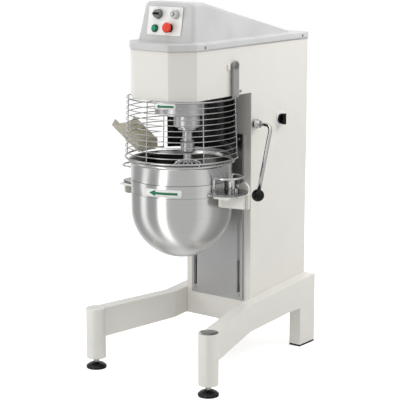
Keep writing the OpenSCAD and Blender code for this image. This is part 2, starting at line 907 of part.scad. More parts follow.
module gearbox_case() {
    color("silver") translate([orbit_x, orbit_y, 0]) difference() {
        union() {
            translate([0, 0, case_low_z + 12]) cylinder(r = 54.5, h = disc_low_z - case_low_z - 12);
            translate([0, 0, case_low_z]) cylinder(r = 38, h = 14);
        }
        translate([0, 0, case_low_z - 5]) cylinder(r = 14 + running, h = 80);
    }
}

module planet_shaft() {
    color("silver") translate([orbit_x, orbit_y, 0]) {
        translate([0, 0, collar_low_z + 10]) cylinder(r = 14, h = 1091 - collar_low_z - 10);
        translate([0, 0, 1066]) rotate(orbit_angle) gear(planet_teeth, planet_module, 20, 13);
        translate([0, 0, collar_top_z]) cylinder(r = 20.5, h = case_low_z - collar_top_z - 1);
    }
}

module coupling_collar() {
    color("silver") translate([orbit_x, orbit_y, 0]) difference() {
        union() {
            translate([0, 0, collar_low_z]) cylinder(r1 = 24, r2 = 28, h = 5, $fn = 64);
            translate([0, 0, collar_low_z + 5]) cylinder(r = 28, h = collar_top_z - collar_low_z - 5);
        }
        translate([0, 0, collar_low_z - 5]) cylinder(r = 14, h = 80);
        translate([0, 0, collar_top_z - 7]) rotate_extrude() translate([28, 0]) circle(r = 2.5, $fn = 32);
    }
}

module coupling_seal() {
    color("black") translate([orbit_x, orbit_y, collar_top_z - 7])
        rotate_extrude() translate([28, 0]) circle(r = 2.5, $fn = 32);
}

module whisk_hub() {
    color("silver") translate([orbit_x, orbit_y, 0]) {
        translate([0, 0, hub_z]) cylinder(r = 16.5, h = collar_low_z - hub_z);
        translate([0, 0, collar_low_z]) cylinder(r = 14, h = 10);
        translate([0, 0, hub_z - 8]) cylinder(r1 = 44, r2 = 16.5, h = 8, $fn = 64);
        translate([0, 0, hub_z - 30]) cylinder(r1 = 74, r2 = 44, h = 22, $fn = 64);
    }
}

whisk_ball_z = whisk_low_z + whisk_r;

// One loop of wire: a round bottom held at a tangent in two straight sides
module whisk_loop(i) {
    r = whisk_r - 4.6 * i;
    top = [66 - 4.6 * i, hub_z - 27 + 3 * i - whisk_ball_z];
    touch_a = atan2(top.y, top.x) - acos(r / norm(top));
    grip_a = touch_a - 1.5;
    rotate(180 * i / whisk_wires_n) translate([0, 0, whisk_ball_z]) {
        rotate([90, 0, 0]) rotate(180 - touch_a)
            rotate_extrude(angle = 180 + 2 * touch_a) translate([r, 0]) circle(r = 1.8, $fn = 16);
        for (s = [-1, 1])
            rod([s * r * cos(grip_a), 0, r * sin(grip_a)], [s * top.x, 0, top.y], 2.1, $fn = 16);
    }
}

module whisk_wires() {
    color("silver") translate([orbit_x, orbit_y, 0]) for (i = [0:whisk_wires_n - 1]) whisk_loop(i);
}

// ---------------------------------------------------------------- guard

module splash_guard() {
    r = 207;
    color("silver") translate([0, bowl_y, 0]) {
        translate([0, 0, hoop_bottom_z + 2]) rotate(splash_a) rotate_extrude(angle = 180 - 2 * splash_a)
            translate([r - 1.5, 0]) square([1.5, head_z - hoop_bottom_z - 2]);
        for (a = [splash_a - 0.5, 180.5 - splash_a]) rotate(a) translate([r - 0.75, 0, hoop_bottom_z + 3])
            cylinder(r = 4, h = head_z - hoop_bottom_z - 4);
    }
}

module pivot_bolts() {
    color("silver") both_sides() {
        x_bar(body_hw, pivot_y, pivot_z, 14, arm_in_x - body_hw - 0.4);
        x_bar(arm_in_x - 1, pivot_y, pivot_z, 8, arm_t + 2);
        x_bar(arm_in_x + arm_t + 0.4, pivot_y, pivot_z, 12, 5);
    }
}

module visor_arms() {
    color("lightgray") both_sides() difference() {
        union() {
            translate([arm_in_x, pivot_y - 18, hoop_top_z - 3]) cube([arm_t, 36, pivot_z - hoop_top_z + 3]);
            x_bar(arm_in_x, pivot_y, pivot_z, 18, arm_t);
        }
        x_bar(arm_in_x - 5, pivot_y, pivot_z, 8 + running, 20);
        translate([0, bowl_y, hoop_top_z]) rotate_extrude() translate([hoop_top_r, 0]) circle(r = 3.2, $fn = 32);
    }
}

function hoop_r(i) = hoop_top_r + (hoop_bottom_r - hoop_top_r) * i / (hoops - 1);
function hoop_z(i) = hoop_top_z - (hoop_top_z - hoop_bottom_z) * i / (hoops - 1);

// Space that the chute takes out of the hoops
module chute_space(margin) {
    translate([chute_out_x, bowl_y, chute_out_z]) rotate([0, chute_slope, 0])
        translate([-margin, -chute_w / 2 - margin, -margin]) cube([chute_l + 2 * margin, chute_w + 2 * margin, chute_h + 2 * margin]);
}

module guard_cage() {
    color("silver") difference() {
        translate([0, bowl_y, 0]) {
            for (i = [0:hoops - 1]) translate([0, 0, hoop_z(i)]) rotate(hoop_start_a)
                rotate_extrude(angle = hoop_span_a) translate([hoop_r(i), 0])
                    circle(r = i == 0 ? 3 : i == hoops - 1 ? 4 : hoop_wire_r, $fn = 24);
            for (k = [0:4]) rotate(hoop_start_a + k * hoop_span_a / 4)
                rod([hoop_top_r - 3.2, 0, hoop_top_z + 2], [hoop_bottom_r - 3.2, 0, hoop_bottom_z - 2], 2);
        }
        chute_space(0.4);
    }
}

module ingredient_chute() {
    color("tan") difference() {
        translate([chute_out_x, bowl_y, chute_out_z]) rotate([0, chute_slope, 0]) {
            translate([0, -chute_w / 2, 0]) cube([chute_l, chute_w, 2]);
            for (y = [-chute_w / 2, chute_w / 2 - 2]) translate([0, y, 0]) cube([chute_l, 2, chute_h]);
        }
        // upright inner end, clear of the side of the head when the guard swings
        translate([chute_in_x, bowl_y - 100, 800]) cube([100, 200, 200]);
    }
}

module guard_label() {
    color("white") wrapped_plate(hoop_top_r + 3.2, 1, 1084, 21, -79, 21);
}

side_beams();
front_legs();
leg_caps();
foot_studs();
foot_pads();
column_shell();
head_shell();
rear_cover();
cover_screws();
top_cover();
control_plate();
control_bezels();
front_panel();
guide_rods();
rod_brackets();
gear_bearings();
head_housing();
main_bearings();
ring_gear();
motor();
drive_belt();
splash_guard();
pivot_bolts();
switch_plate();
cable_gland();
timer_knob();
selector_knob();
start_button();
stop_button();
main_switch();
motor_pulley();
input_shaft();
drive_pulley();
planet_disc();
gearbox_case();
planet_shaft();
coupling_collar();
coupling_seal();
whisk_hub();
whisk_wires();
guard_cage();
visor_arms();
ingredient_chute();
guard_label();
carriage();
lift_rack();
bowl_yoke();
locating_pins();
bowl();
bowl_ears();
bowl_handles();
bowl_label();
clamp_left();
clamp_right();
lever_shaft();
sector_gear();
lever_arm();
lever_knob();
cluster_gear();
lift_gear();
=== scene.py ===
import math
import bmesh
import bpy
from mathutils import Matrix, Vector


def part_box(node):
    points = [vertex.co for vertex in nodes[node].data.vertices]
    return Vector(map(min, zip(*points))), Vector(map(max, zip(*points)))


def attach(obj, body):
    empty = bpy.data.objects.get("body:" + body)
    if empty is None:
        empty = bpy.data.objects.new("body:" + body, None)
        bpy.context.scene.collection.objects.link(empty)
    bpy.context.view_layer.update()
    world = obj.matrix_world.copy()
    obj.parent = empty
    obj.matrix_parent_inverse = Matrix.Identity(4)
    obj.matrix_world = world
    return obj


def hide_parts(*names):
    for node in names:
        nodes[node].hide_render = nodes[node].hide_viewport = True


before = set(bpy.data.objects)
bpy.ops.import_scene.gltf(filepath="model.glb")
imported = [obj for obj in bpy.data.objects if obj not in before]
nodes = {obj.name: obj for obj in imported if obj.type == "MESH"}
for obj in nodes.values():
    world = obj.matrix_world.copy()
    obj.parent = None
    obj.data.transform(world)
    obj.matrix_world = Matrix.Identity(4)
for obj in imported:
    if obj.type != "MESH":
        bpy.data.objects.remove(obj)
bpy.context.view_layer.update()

MM = 0.001
UP = Vector((0, 0, 1))

# ---------------------------------------------------------------- sizes in metres, mostly read off the frame
bowl_low, bowl_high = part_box("bowl")
AXIS = Vector(((bowl_low.x + bowl_high.x) / 2, (bowl_low.y + bowl_high.y) / 2, 0))
RIM_Z = bowl_high.z
RIM_ROLL_R = 5 * MM
BOWL_R = (bowl_high.x - bowl_low.x) / 2 - 11.5 * MM
BOWL_WALL = 2.5 * MM
BALL_Z = bowl_low.z + BOWL_R
EAR_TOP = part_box("bowl_ears")[1].z

cage_low, cage_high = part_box("guard_cage")
HOOPS = 12
HOOP_TOP_Z = cage_high.z - 3 * MM
HOOP_LOW_Z = cage_low.z + 4 * MM
HOOP_TOP_R = 213 * MM
HOOP_LOW_R = 221 * MM
HOOP_START = 148
HOOP_SPAN = 244

shaft_low, shaft_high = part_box("coupling_seal")
ORBIT = (shaft_low + shaft_high) / 2
HUB_TOP_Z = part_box("whisk_hub")[0].z + 30 * MM
WHISK_LOW_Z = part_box("whisk_wires")[0].z

# The leaning control face, and on it places and heights in millimetres, as on_face takes them
FACE_LEAN = math.radians(9.8)
FACE_LOW = Vector((0, -303 * MM, 1325.5 * MM))
FACE_U = Vector((1, 0, 0))
FACE_V = Vector((0, math.sin(FACE_LEAN), math.cos(FACE_LEAN)))
FACE_W = Vector((0, -math.cos(FACE_LEAN), math.sin(FACE_LEAN)))
PLATE_T = 2
BEZEL_TOP = 5
TIMER_AT = (-40, 105)
SELECTOR_AT = (43, 106)
START_AT = (-52, 50)
STOP_AT = (18, 54)


# ---------------------------------------------------------------- materials
def new_material(name, metallic, roughness):
    """A node material with its Principled shader."""
    mat = bpy.data.materials.new(name)
    mat.use_nodes = True
    shader = mat.node_tree.nodes["Principled BSDF"]
    shader.inputs["Metallic"].default_value = metallic
    shader.inputs["Roughness"].default_value = roughness
    return mat


def noise(mat, scale, detail=4.0, stretch=(1, 1, 1)):
    """Noise over the part's own coordinates, stretched along each axis. Returns the factor output."""
    tree = mat.node_tree
    place = tree.nodes.new("ShaderNodeTexCoord")
    mapping = tree.nodes.new("ShaderNodeMapping")
    mapping.inputs["Scale"].default_value = stretch
    texture = tree.nodes.new("ShaderNodeTexNoise")
    texture.inputs["Scale"].default_value = scale
    texture.inputs["Detail"].default_value = detail
    tree.links.new(place.outputs["Object"], mapping.inputs["Vector"])
    tree.links.new(mapping.outputs["Vector"], texture.inputs["Vector"])
    return texture.outputs["Fac"]


def height_fade(mat, low, high):
    """1 at height low and 0 at height high, in metres."""
    tree = mat.node_tree
    place = tree.nodes.new("ShaderNodeTexCoord")
    split = tree.nodes.new("ShaderNodeSeparateXYZ")
    fade = tree.nodes.new("ShaderNodeMapRange")
    fade.inputs["From Min"].default_value = high
    fade.inputs["From Max"].default_value = low
    tree.links.new(place.outputs["Object"], split.inputs["Vector"])
    tree.links.new(split.outputs["Z"], fade.inputs["Value"])
    return fade.outputs["Result"]


def paint(mat, factor, dark, light, start=0.3, end=0.7):
    """Base colour from dark to light along a factor."""
    tree = mat.node_tree
    ramp = tree.nodes.new("ShaderNodeValToRGB")
    ramp.color_ramp.elements[0].position = start
    ramp.color_ramp.elements[0].color = (*dark, 1)
    ramp.color_ramp.elements[1].position = end
    ramp.color_ramp.elements[1].color = (*light, 1)
    tree.links.new(factor, ramp.inputs["Fac"])
    tree.links.new(ramp.outputs["Color"], tree.nodes["Principled BSDF"].inputs["Base Color"])
    return ramp.outputs["Color"]


def gloss(mat, factor, low, high):
    """Roughness from low to high along a factor."""
    tree = mat.node_tree
    span = tree.nodes.new("ShaderNodeMapRange")
    span.inputs["From Min"].default_value = 0.3
    span.inputs["From Max"].default_value = 0.7
    span.inputs["To Min"].default_value = low
    span.inputs["To Max"].default_value = high
    tree.links.new(factor, span.inputs["Value"])
    tree.links.new(span.outputs["Result"], tree.nodes["Principled BSDF"].inputs["Roughness"])


def relief(mat, factor, strength, distance):
    """Bump from a factor, distance in metres."""
    tree = mat.node_tree
    bump = tree.nodes.new("ShaderNodeBump")
    bump.inputs["Strength"].default_value = strength
    bump.inputs["Distance"].default_value = distance
    tree.links.new(factor, bump.inputs["Height"])
    tree.links.new(bump.outputs["Normal"], tree.nodes["Principled BSDF"].inputs["Normal"])


def tint(colour, share):
    return tuple(min(1, c * share) for c in colour)


def darken_low_parts(mat, even_tone, factor, low_tone, low, high, amount):
    """Darkens the colour towards a darker tone, fully at the lower height and not at all at the upper one,
    broken up by a noise factor.
    """
    tree = mat.node_tree
    both = tree.nodes.new("ShaderNodeMath")
    both.operation = "MULTIPLY"
    part = tree.nodes.new("ShaderNodeMath")
    part.operation = "MULTIPLY"
    part.inputs[1].default_value = amount
    mix = tree.nodes.new("ShaderNodeMix")
    mix.data_type = "RGBA"
    mix.inputs["B"].default_value = (*low_tone, 1)
    tree.links.new(height_fade(mat, low, high), both.inputs[0])
    tree.links.new(factor, both.inputs[1])
    tree.links.new(both.outputs["Value"], part.inputs[0])
    tree.links.new(part.outputs["Value"], mix.inputs["Factor"])
    tree.links.new(even_tone, mix.inputs["A"])
    tree.links.new(mix.outputs["Result"], tree.nodes["Principled BSDF"].inputs["Base Color"])


def powder_coat(name, colour):
    mat = new_material(name, 0.0, 0.38)
    cloud = noise(mat, 3.0, 6)
    even_tone = paint(mat, cloud, tint(colour, 0.965), tint(colour, 1.02))
    # Darker towards the floor, up to 0.32 m, in patches from a noise
    darken_low_parts(mat, even_tone, noise(mat, 14.0, 8), tint(colour, 0.62), 0.0, 0.32, 0.28)
    gloss(mat, noise(mat, 26.0, 5), 0.30, 0.44)
    relief(mat, noise(mat, 620.0, 2), 0.10, 0.4 * MM)
    mat.node_tree.nodes["Principled BSDF"].inputs["Coat Weight"].default_value = 0.25
    mat.node_tree.nodes["Principled BSDF"].inputs["Coat Roughness"].default_value = 0.2
    return mat


def moulded(name, colour, roughness, grain=900.0, depth=0.06, shine=0.5):
    mat = new_material(name, 0.0, roughness)
    mat.node_tree.nodes["Principled BSDF"].inputs["Specular IOR Level"].default_value = shine
    paint(mat, noise(mat, 9.0, 6), tint(colour, 0.94), tint(colour, 1.04))
    gloss(mat, noise(mat, 45.0, 4), roughness * 0.85, min(1.0, roughness * 1.25))
    relief(mat, noise(mat, grain, 3), depth, 0.3 * MM)
    return mat


def brushed(name, colour, roughness, stretch, contrast=0.12):
    """Metal with fine parallel scratches: stretch is large across the grain and small along it."""
    mat = new_material(name, 1.0, roughness)
    grain = noise(mat, 1.0, 5, stretch)
    paint(mat, grain, tint(colour, 1 - contrast), tint(colour, 1 + contrast))
    gloss(mat, grain, roughness * 0.8, roughness * 1.3)
    relief(mat, grain, 0.06, 0.05 * MM)
    return mat


def spun(name, colour, roughness, stretch):
    """Metal turned or brushed round the Z axis: its highlights run up and down, across the fine rings."""
    mat = new_material(name, 1.0, roughness)
    shader = mat.node_tree.nodes["Principled BSDF"]
    grain = noise(mat, 1.0, 4, stretch)
    paint(mat, grain, tint(colour, 0.97), tint(colour, 1.03))
    gloss(mat, noise(mat, 7.0, 3), roughness * 0.94, roughness * 1.06)
    shader.inputs["Anisotropic"].default_value = 0.75
    shader.inputs["Anisotropic Rotation"].default_value = 0.25
    round_z = mat.node_tree.nodes.new("ShaderNodeTangent")
    round_z.direction_type = "RADIAL"
    round_z.axis = "Z"
    mat.node_tree.links.new(round_z.outputs["Tangent"], shader.inputs["Tangent"])
    return mat


def polished(name, colour, roughness):
    mat = new_material(name, 1.0, roughness)
    paint(mat, noise(mat, 30.0, 5), tint(colour, 0.93), tint(colour, 1.03))
    gloss(mat, noise(mat, 60.0, 6), roughness * 0.6, roughness * 1.6)
    relief(mat, noise(mat, 160.0, 3), 0.03, 0.05 * MM)
    return mat


def cast(name, colour):
    mat = new_material(name, 0.85, 0.5)
    paint(mat, noise(mat, 60.0, 8), tint(colour, 0.7), tint(colour, 1.35))
    gloss(mat, noise(mat, 90.0, 6), 0.4, 0.65)
    relief(mat, noise(mat, 300.0, 6), 0.35, 0.4 * MM)
    return mat


MATERIALS = {
    "ivory_paint": powder_coat("ivory_paint", (0.76, 0.745, 0.70)),
    "guard_paint": powder_coat("guard_paint", (0.30, 0.30, 0.29)),
    "hood_plastic": moulded("hood_plastic", (0.58, 0.585, 0.585), 0.36, 500.0, 0.03),
    "chute_steel": brushed("chute_steel", (0.50, 0.48, 0.41), 0.42, (40, 700, 40)),
    "panel_steel": brushed("panel_steel", (0.46, 0.46, 0.465), 0.36, (700, 60, 9), 0.02),
    "bowl_steel": spun("bowl_steel", (0.62, 0.62, 0.62), 0.26, (3, 3, 500)),
    # The bowl's steel painted much darker for the skin inside the bowl: painted shade and painted dark
    # reflection
    "shaded_bowl_steel": spun("shaded_bowl_steel", (0.13, 0.13, 0.13), 0.20, (3, 3, 300)),
    "ear_steel": brushed("bowl_ear_steel", (0.30, 0.30, 0.30), 0.24, (30, 300, 300)),
    "polished_steel": polished("polished_steel", (0.62, 0.62, 0.62), 0.10),
    "cap_steel": polished("cap_steel", (0.66, 0.66, 0.64), 0.14),
    "wire_steel": polished("wire_steel", (0.50, 0.50, 0.50), 0.20),
    "whisk_steel": polished("whisk_steel", (0.80, 0.80, 0.80), 0.16),
    "dark_metal": polished("dark_metal", (0.10, 0.10, 0.10), 0.30),
    # Near-black for the polished steel splash guard: painted dark reflection and painted shade in place of
    # the steel
    "dark_sheet": moulded("dark_sheet", (0.008, 0.008, 0.009), 0.14, 200.0, 0.01, 0.2),
    "turned_metal": spun("turned_metal", (0.62, 0.62, 0.63), 0.42, (6, 6, 600)),
    "zinc_steel": polished("zinc_steel", (0.42, 0.42, 0.43), 0.28),
    "cast_iron": cast("cast_iron", (0.16, 0.165, 0.17)),
    "motor_paint": powder_coat("motor_paint", (0.10, 0.13, 0.17)),
    "rubber": moulded("rubber", (0.012, 0.012, 0.012), 0.55, 700.0, 0.3, 0.3),
    "gloss_rubber": moulded("gloss_rubber", (0.004, 0.004, 0.004), 0.26, 300.0, 0.04, 0.3),
    "black_plastic": moulded("black_plastic", (0.003, 0.003, 0.003), 0.10, 150.0, 0.01, 0.25),
    "grey_plastic": moulded("grey_plastic", (0.20, 0.20, 0.195), 0.42),
    "lip_rubber": moulded("lip_rubber", (0.34, 0.34, 0.345), 0.50),
    "light_plastic": moulded("light_plastic", (0.52, 0.53, 0.52), 0.35),
    "white_plastic": moulded("white_plastic", (0.86, 0.87, 0.86), 0.35),
    "green_plastic": moulded("green_plastic", (0.02, 0.30, 0.15), 0.22),
    "red_plastic": moulded("red_plastic", (0.80, 0.05, 0.02), 0.25),
    "plate_film": moulded("plate_film", (0.90, 0.90, 0.88), 0.40),
    "green_ink": moulded("green_ink", (0.004, 0.15, 0.065), 0.40),
}


def dress(obj, material):
    obj.data.materials.clear()
    obj.data.materials.append(MATERIALS[material])


# ---------------------------------------------------------------- mesh tools
def soften(obj, bevel, angle=30):
    """Joins the seams of the mesh, rounds its edges and shades it smooth except over sharp edges."""
    weld = obj.modifiers.new("weld", "WELD")
    weld.merge_threshold = 0.00002
    if bevel:
        edge = obj.modifiers.new("edge", "BEVEL")
        edge.width = bevel
        edge.segments = 3
        edge.limit_method = "ANGLE"
        edge.angle_limit = math.radians(angle)
        edge.harden_normals = False
        edge.use_clamp_overlap = True
    for polygon in obj.data.polygons:
        polygon.use_smooth = True
    normals = obj.modifiers.new("normals", "WEIGHTED_NORMAL")
    normals.keep_sharp = True
    normals.weight = 60


def piece(name, mesh, body, material, stands_for=(), bevel=0.0):
    """Makes an object from a bmesh, rides it on a body and gives it its material."""
    bmesh.ops.recalc_face_normals(mesh, faces=mesh.faces)
    data = bpy.data.meshes.new(name)
    mesh.to_mesh(data)
    mesh.free()
    obj = bpy.data.objects.new(name, data)
    bpy.context.scene.collection.objects.link(obj)
    dress(obj, material)
    for polygon in data.polygons:
        polygon.use_smooth = True
    if bevel:
        soften(obj, bevel)
    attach(obj, body)
    if stands_for:
        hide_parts(*stands_for)
    return obj


def frame_at(origin, z_axis, x_hint=Vector((1, 0, 0))):
    """A matrix with its Z along z_axis and its X near x_hint."""
    z = Vector(z_axis).normalized()
    x = Vector(x_hint) - z * Vector(x_hint).dot(z)
    x.normalize()
    y = z.cross(x)
    return Matrix.Translation(origin) @ Matrix((x, y, z)).transposed().to_4x4()


def lathe(mesh, profile, place, steps=96):
    """Turns a closed or open profile of (radius, height) about Z and puts it at a place."""
    rings = []
    for i in range(steps):
        a = 2 * math.pi * i / steps
        ring = []
        for r, z in profile:
            if r < 1e-7 and i:
                ring.append(rings[0][len(ring)])
                continue
            ring.append(mesh.verts.new(place @ Vector((r * math.cos(a), r * math.sin(a), z))))
        rings.append(ring)
    for i, ring in enumerate(rings):
        after = rings[(i + 1) % steps]
        for k in range(len(profile) - 1):
            corners = []
            for v in (ring[k], after[k], after[k + 1], ring[k + 1]):
                if v not in corners:
                    corners.append(v)
            if len(corners) > 2:
                mesh.faces.new(corners)
    return mesh


def tube(mesh, points, radius, sides=12, closed=False):
    """Sweeps a round section along points, with closed ends unless the path is closed."""
    count = len(points)
    normal = None
    rings = []
    for i, p in enumerate(points):
        before = points[i - 1] if i or closed else p
        after = points[(i + 1) % count] if i < count - 1 or closed else p
        along = (after - before).normalized()
        if normal is None:
            normal = along.orthogonal().normalized()
        normal = (normal - along * normal.dot(along)).normalized()
        side = along.cross(normal)
        ring = []
        for k in range(sides):
            a = 2 * math.pi * k / sides
            ring.append(mesh.verts.new(p + radius * (math.cos(a) * normal + math.sin(a) * side)))
        rings.append(ring)
    for i in range(count if closed else count - 1):
        for k in range(sides):
            j = (k + 1) % sides
            after = rings[(i + 1) % count]
            mesh.faces.new((rings[i][k], rings[i][j], after[j], after[k]))
    if not closed:
        mesh.faces.new(rings[0])
        mesh.faces.new(rings[-1])
    return mesh


def prism(mesh, outline, height, place):
    """Extrudes an outline of (x, y) along Z from 0 to height and puts it at a place."""
    low = [mesh.verts.new(place @ Vector((x, y, 0))) for x, y in outline]
    high = [mesh.verts.new(place @ Vector((x, y, height))) for x, y in outline]
    mesh.faces.new(low)
    mesh.faces.new(high)
    count = len(outline)
    for i in range(count):
        j = (i + 1) % count
        mesh.faces.new((low[i], low[j], high[j], high[i]))
    return mesh


def arc(cx, cy, r, start, end, steps):
    """Points on an arc, angles in degrees."""
    found = []
    for i in range(steps + 1):
        a = math.radians(start + (end - start) * i / steps)
        found.append((cx + r * math.cos(a), cy + r * math.sin(a)))
    return found


def rounded_box(w, h, r, steps=6):
    """Outline of a rectangle with round corners, centred on the origin."""
    x, y = w / 2 - r, h / 2 - r
    corners = ((x, y, 0), (-x, y, 90), (-x, -y, 180), (x, -y, 270))
    return [p for cx, cy, a in corners for p in arc(cx, cy, r, a, a + 90, steps)]


def filleted(points, radius, steps=6):
    """A path of straight lines whose inner corners are rounded."""
    path = [points[0]]
    for before, corner, after in zip(points, points[1:], points[2:]):
        a = (before - corner).normalized()
        b = (after - corner).normalized()
        half = a.angle(b) / 2
        run = radius / math.tan(half)
        centre = corner + (a + b).normalized() * (radius / math.sin(half))
        start = (corner + a * run - centre).normalized()
        end = (corner + b * run - centre).normalized()
        for i in range(steps + 1):
            path.append(centre + start.slerp(end, i / steps) * radius)
    path.append(points[-1])
    return path


def on_face(u, v, w=0.0):
    """Place on the leaning control face, millimetres: Z outward, X across and Y up the face."""
    origin = FACE_LOW + (FACE_U * u + FACE_V * v + FACE_W * w) * MM
    return frame_at(origin, FACE_W, FACE_U)


def scaled(points):
    return [(x * MM, y * MM) for x, y in points]


# ---------------------------------------------------------------- carried-over CAD nodes
# Finish of each node carried over from CAD, and the width of its softened edges in millimetres
CARRIED = {
    "side_beams": ("ivory_paint", 2.5),
    "front_legs": ("ivory_paint", 0.6),
    "foot_studs": ("zinc_steel", 0.6),
    "foot_pads": ("gloss_rubber", 1.2),
    "rear_cover": ("ivory_paint", 0.6),
    "top_cover": ("hood_plastic", 6.0),
    "control_plate": ("plate_film", 0.4),
    "control_bezels": ("black_plastic", 0.6),
    "front_panel": ("panel_steel", 1.0),
    "guide_rods": ("polished_steel", 0.8),
    "rod_brackets": ("cast_iron", 1.5),
    "gear_bearings": ("cast_iron", 1.5),
    "head_housing": ("cast_iron", 1.5),
    "main_bearings": ("polished_steel", 1.0),
    "ring_gear": ("cast_iron", 0.3),
    "motor": ("motor_paint", 1.0),
    "drive_belt": ("rubber", 0.8),
    # The steel splash guard in near-black: painted dark reflection
    "splash_guard": ("dark_sheet", 0.0),
    "pivot_bolts": ("zinc_steel", 0.8),
    "switch_plate": ("white_plastic", 0.6),
    "cable_gland": ("black_plastic", 0.6),
    "main_switch": ("black_plastic", 1.6),
    "motor_pulley": ("cast_iron", 0.6),
    "input_shaft": ("zinc_steel", 0.8),
    "drive_pulley": ("cast_iron", 0.6),
    "planet_disc": ("turned_metal", 1.6),
    "gearbox_case": ("turned_metal", 2.0),
    "planet_shaft": ("turned_metal", 0.3),
    "coupling_collar": ("turned_metal", 0.8),
    "coupling_seal": ("rubber", 0.0),
    "visor_arms": ("guard_paint", 1.2),
    "ingredient_chute": ("chute_steel", 0.5),
    "carriage": ("cast_iron", 1.5),
    "lift_rack": ("zinc_steel", 0.3),
    "bowl_yoke": ("ivory_paint", 1.5),
    "locating_pins": ("polished_steel", 0.8),
    "bowl_ears": ("ear_steel", 1.2),
    "clamp_left": ("zinc_steel", 0.6),
    "clamp_right": ("zinc_steel", 0.6),
    "lever_shaft": ("zinc_steel", 0.8),
    "sector_gear": ("cast_iron", 0.3),
    "lever_knob": ("black_plastic", 0.5),
    "cluster_gear": ("cast_iron", 0.3),
    "lift_gear": ("cast_iron", 0.3),
}


def carry_over():
    """Dresses the CAD nodes that are shown as they are."""
    for name, (material, bevel) in CARRIED.items():
        obj = nodes[name]
        dress(obj, material)
        soften(obj, bevel * MM)


def plain_copy(name):
    """A welded copy of a CAD node, standing free in the row frame."""
    mesh = bmesh.new()
    mesh.from_mesh(nodes[name].data)
    mesh.transform(nodes[name].matrix_world)
    bmesh.ops.remove_doubles(mesh, verts=mesh.verts, dist=0.01 * MM)
    data = bpy.data.meshes.new(name + "_copy")
    mesh.to_mesh(data)
    mesh.free()
    copy = bpy.data.objects.new(name + "_copy", data)
    bpy.context.scene.collection.objects.link(copy)
    return copy


def make_body_sheet():
    """The column and the head as one folded and welded sheet, without a seam between them."""
    bpy.context.view_layer.update()
    head, column = plain_copy("head_shell"), plain_copy("column_shell")
    union = head.modifiers.new("union", "BOOLEAN")
    union.operation = "UNION"
    union.solver = "EXACT"
    union.object = column
    whole = head.evaluated_get(bpy.context.evaluated_depsgraph_get())
    mesh = bmesh.new()
    mesh.from_mesh(whole.to_mesh())
    whole.to_mesh_clear()
    bpy.data.objects.remove(head)
    bpy.data.objects.remove(column)
    piece("body_sheet", mesh, "frame", "ivory_paint", ["column_shell", "head_shell"], bevel=1.6 * MM)


# ---------------------------------------------------------------- bowl
SEAM_DEPTH = 0.4 * MM
SEAM_HALF = 1.3 * MM
# Height of each welded joint and half the height of its dark line
SEAMS = ((787 * MM, 0.9 * MM), (737 * MM, 0.35 * MM))
ARC_STEPS = 36
ARC_STEP = 90 / ARC_STEPS


def bottom_arc(r, turns):
    """Points of the round bottom at radius r: turn 0 is at the wall, the last turn is the lowest point."""
    angles = [math.radians(-ARC_STEP * i) for i in turns]
    return [(r * math.cos(a), BALL_Z + r * math.sin(a)) for a in angles]


def bowl_profile():
    """Outside, rolled rim and inside of the bowl, from its lowest point round to its lowest point."""
    inner = BOWL_R - BOWL_WALL
    outside = bottom_arc(BOWL_R, range(ARC_STEPS, -1, -1))
    outside[0] = (0, outside[0][1])
    for z, _ in reversed(SEAMS):
        outside.append((BOWL_R, z - SEAM_HALF))
        outside.append((BOWL_R - SEAM_DEPTH, z))
        outside.append((BOWL_R, z + SEAM_HALF))
    outside.append((BOWL_R, RIM_Z - 16 * MM))
    roll = arc(BOWL_R + 6.5 * MM, RIM_Z - RIM_ROLL_R, RIM_ROLL_R, -120, 165, 22)
    inside = [(inner, RIM_Z - 12 * MM)]
    inside += bottom_arc(inner, range(ARC_STEPS + 1))
    inside[-1] = (0, inside[-1][1])
    return outside + roll + inside


def make_bowl():
    mesh = lathe(bmesh.new(), bowl_profile(), Matrix.Translation(AXIS), 160)
    piece("bowl_shell", mesh, "lift", "bowl_steel", ["bowl"])
    make_seams()
    make_shaded_skin()


def make_seams():
    """The dark line along each welded joint round the bowl."""
    mesh = bmesh.new()
    for z, half in SEAMS:
        low, high = BOWL_R - SEAM_DEPTH, BOWL_R + 0.05 * MM
        line = [(low, z - half), (high, z - half), (high, z + half), (low, z + half), (low, z - half)]
        lathe(mesh, line, Matrix.Translation(AXIS), 128)
    piece("bowl_seams", mesh, "lift", "dark_metal")


def make_shaded_skin():
    """The inside of the bowl as a skin just off its wall, in the bowl's steel painted much darker: painted
    shade and painted dark reflection inside the bowl.
    """
    profile = []
    for gap, turns in ((0.1 * MM, range(ARC_STEPS + 1)), (0.5 * MM, range(ARC_STEPS, -1, -1))):
        r = BOWL_R - BOWL_WALL - gap
        side = bottom_arc(r, turns)
        tip = 0 if turns[0] else -1
        side[tip] = (0, side[tip][1])
        side.insert(0 if tip else len(side), (r, RIM_Z - 14 * MM))
        profile += side
    mesh = lathe(bmesh.new(), profile + profile[:1], Matrix.Translation(AXIS), 128)
    piece("shaded_bowl_skin", mesh, "lift", "shaded_bowl_steel")


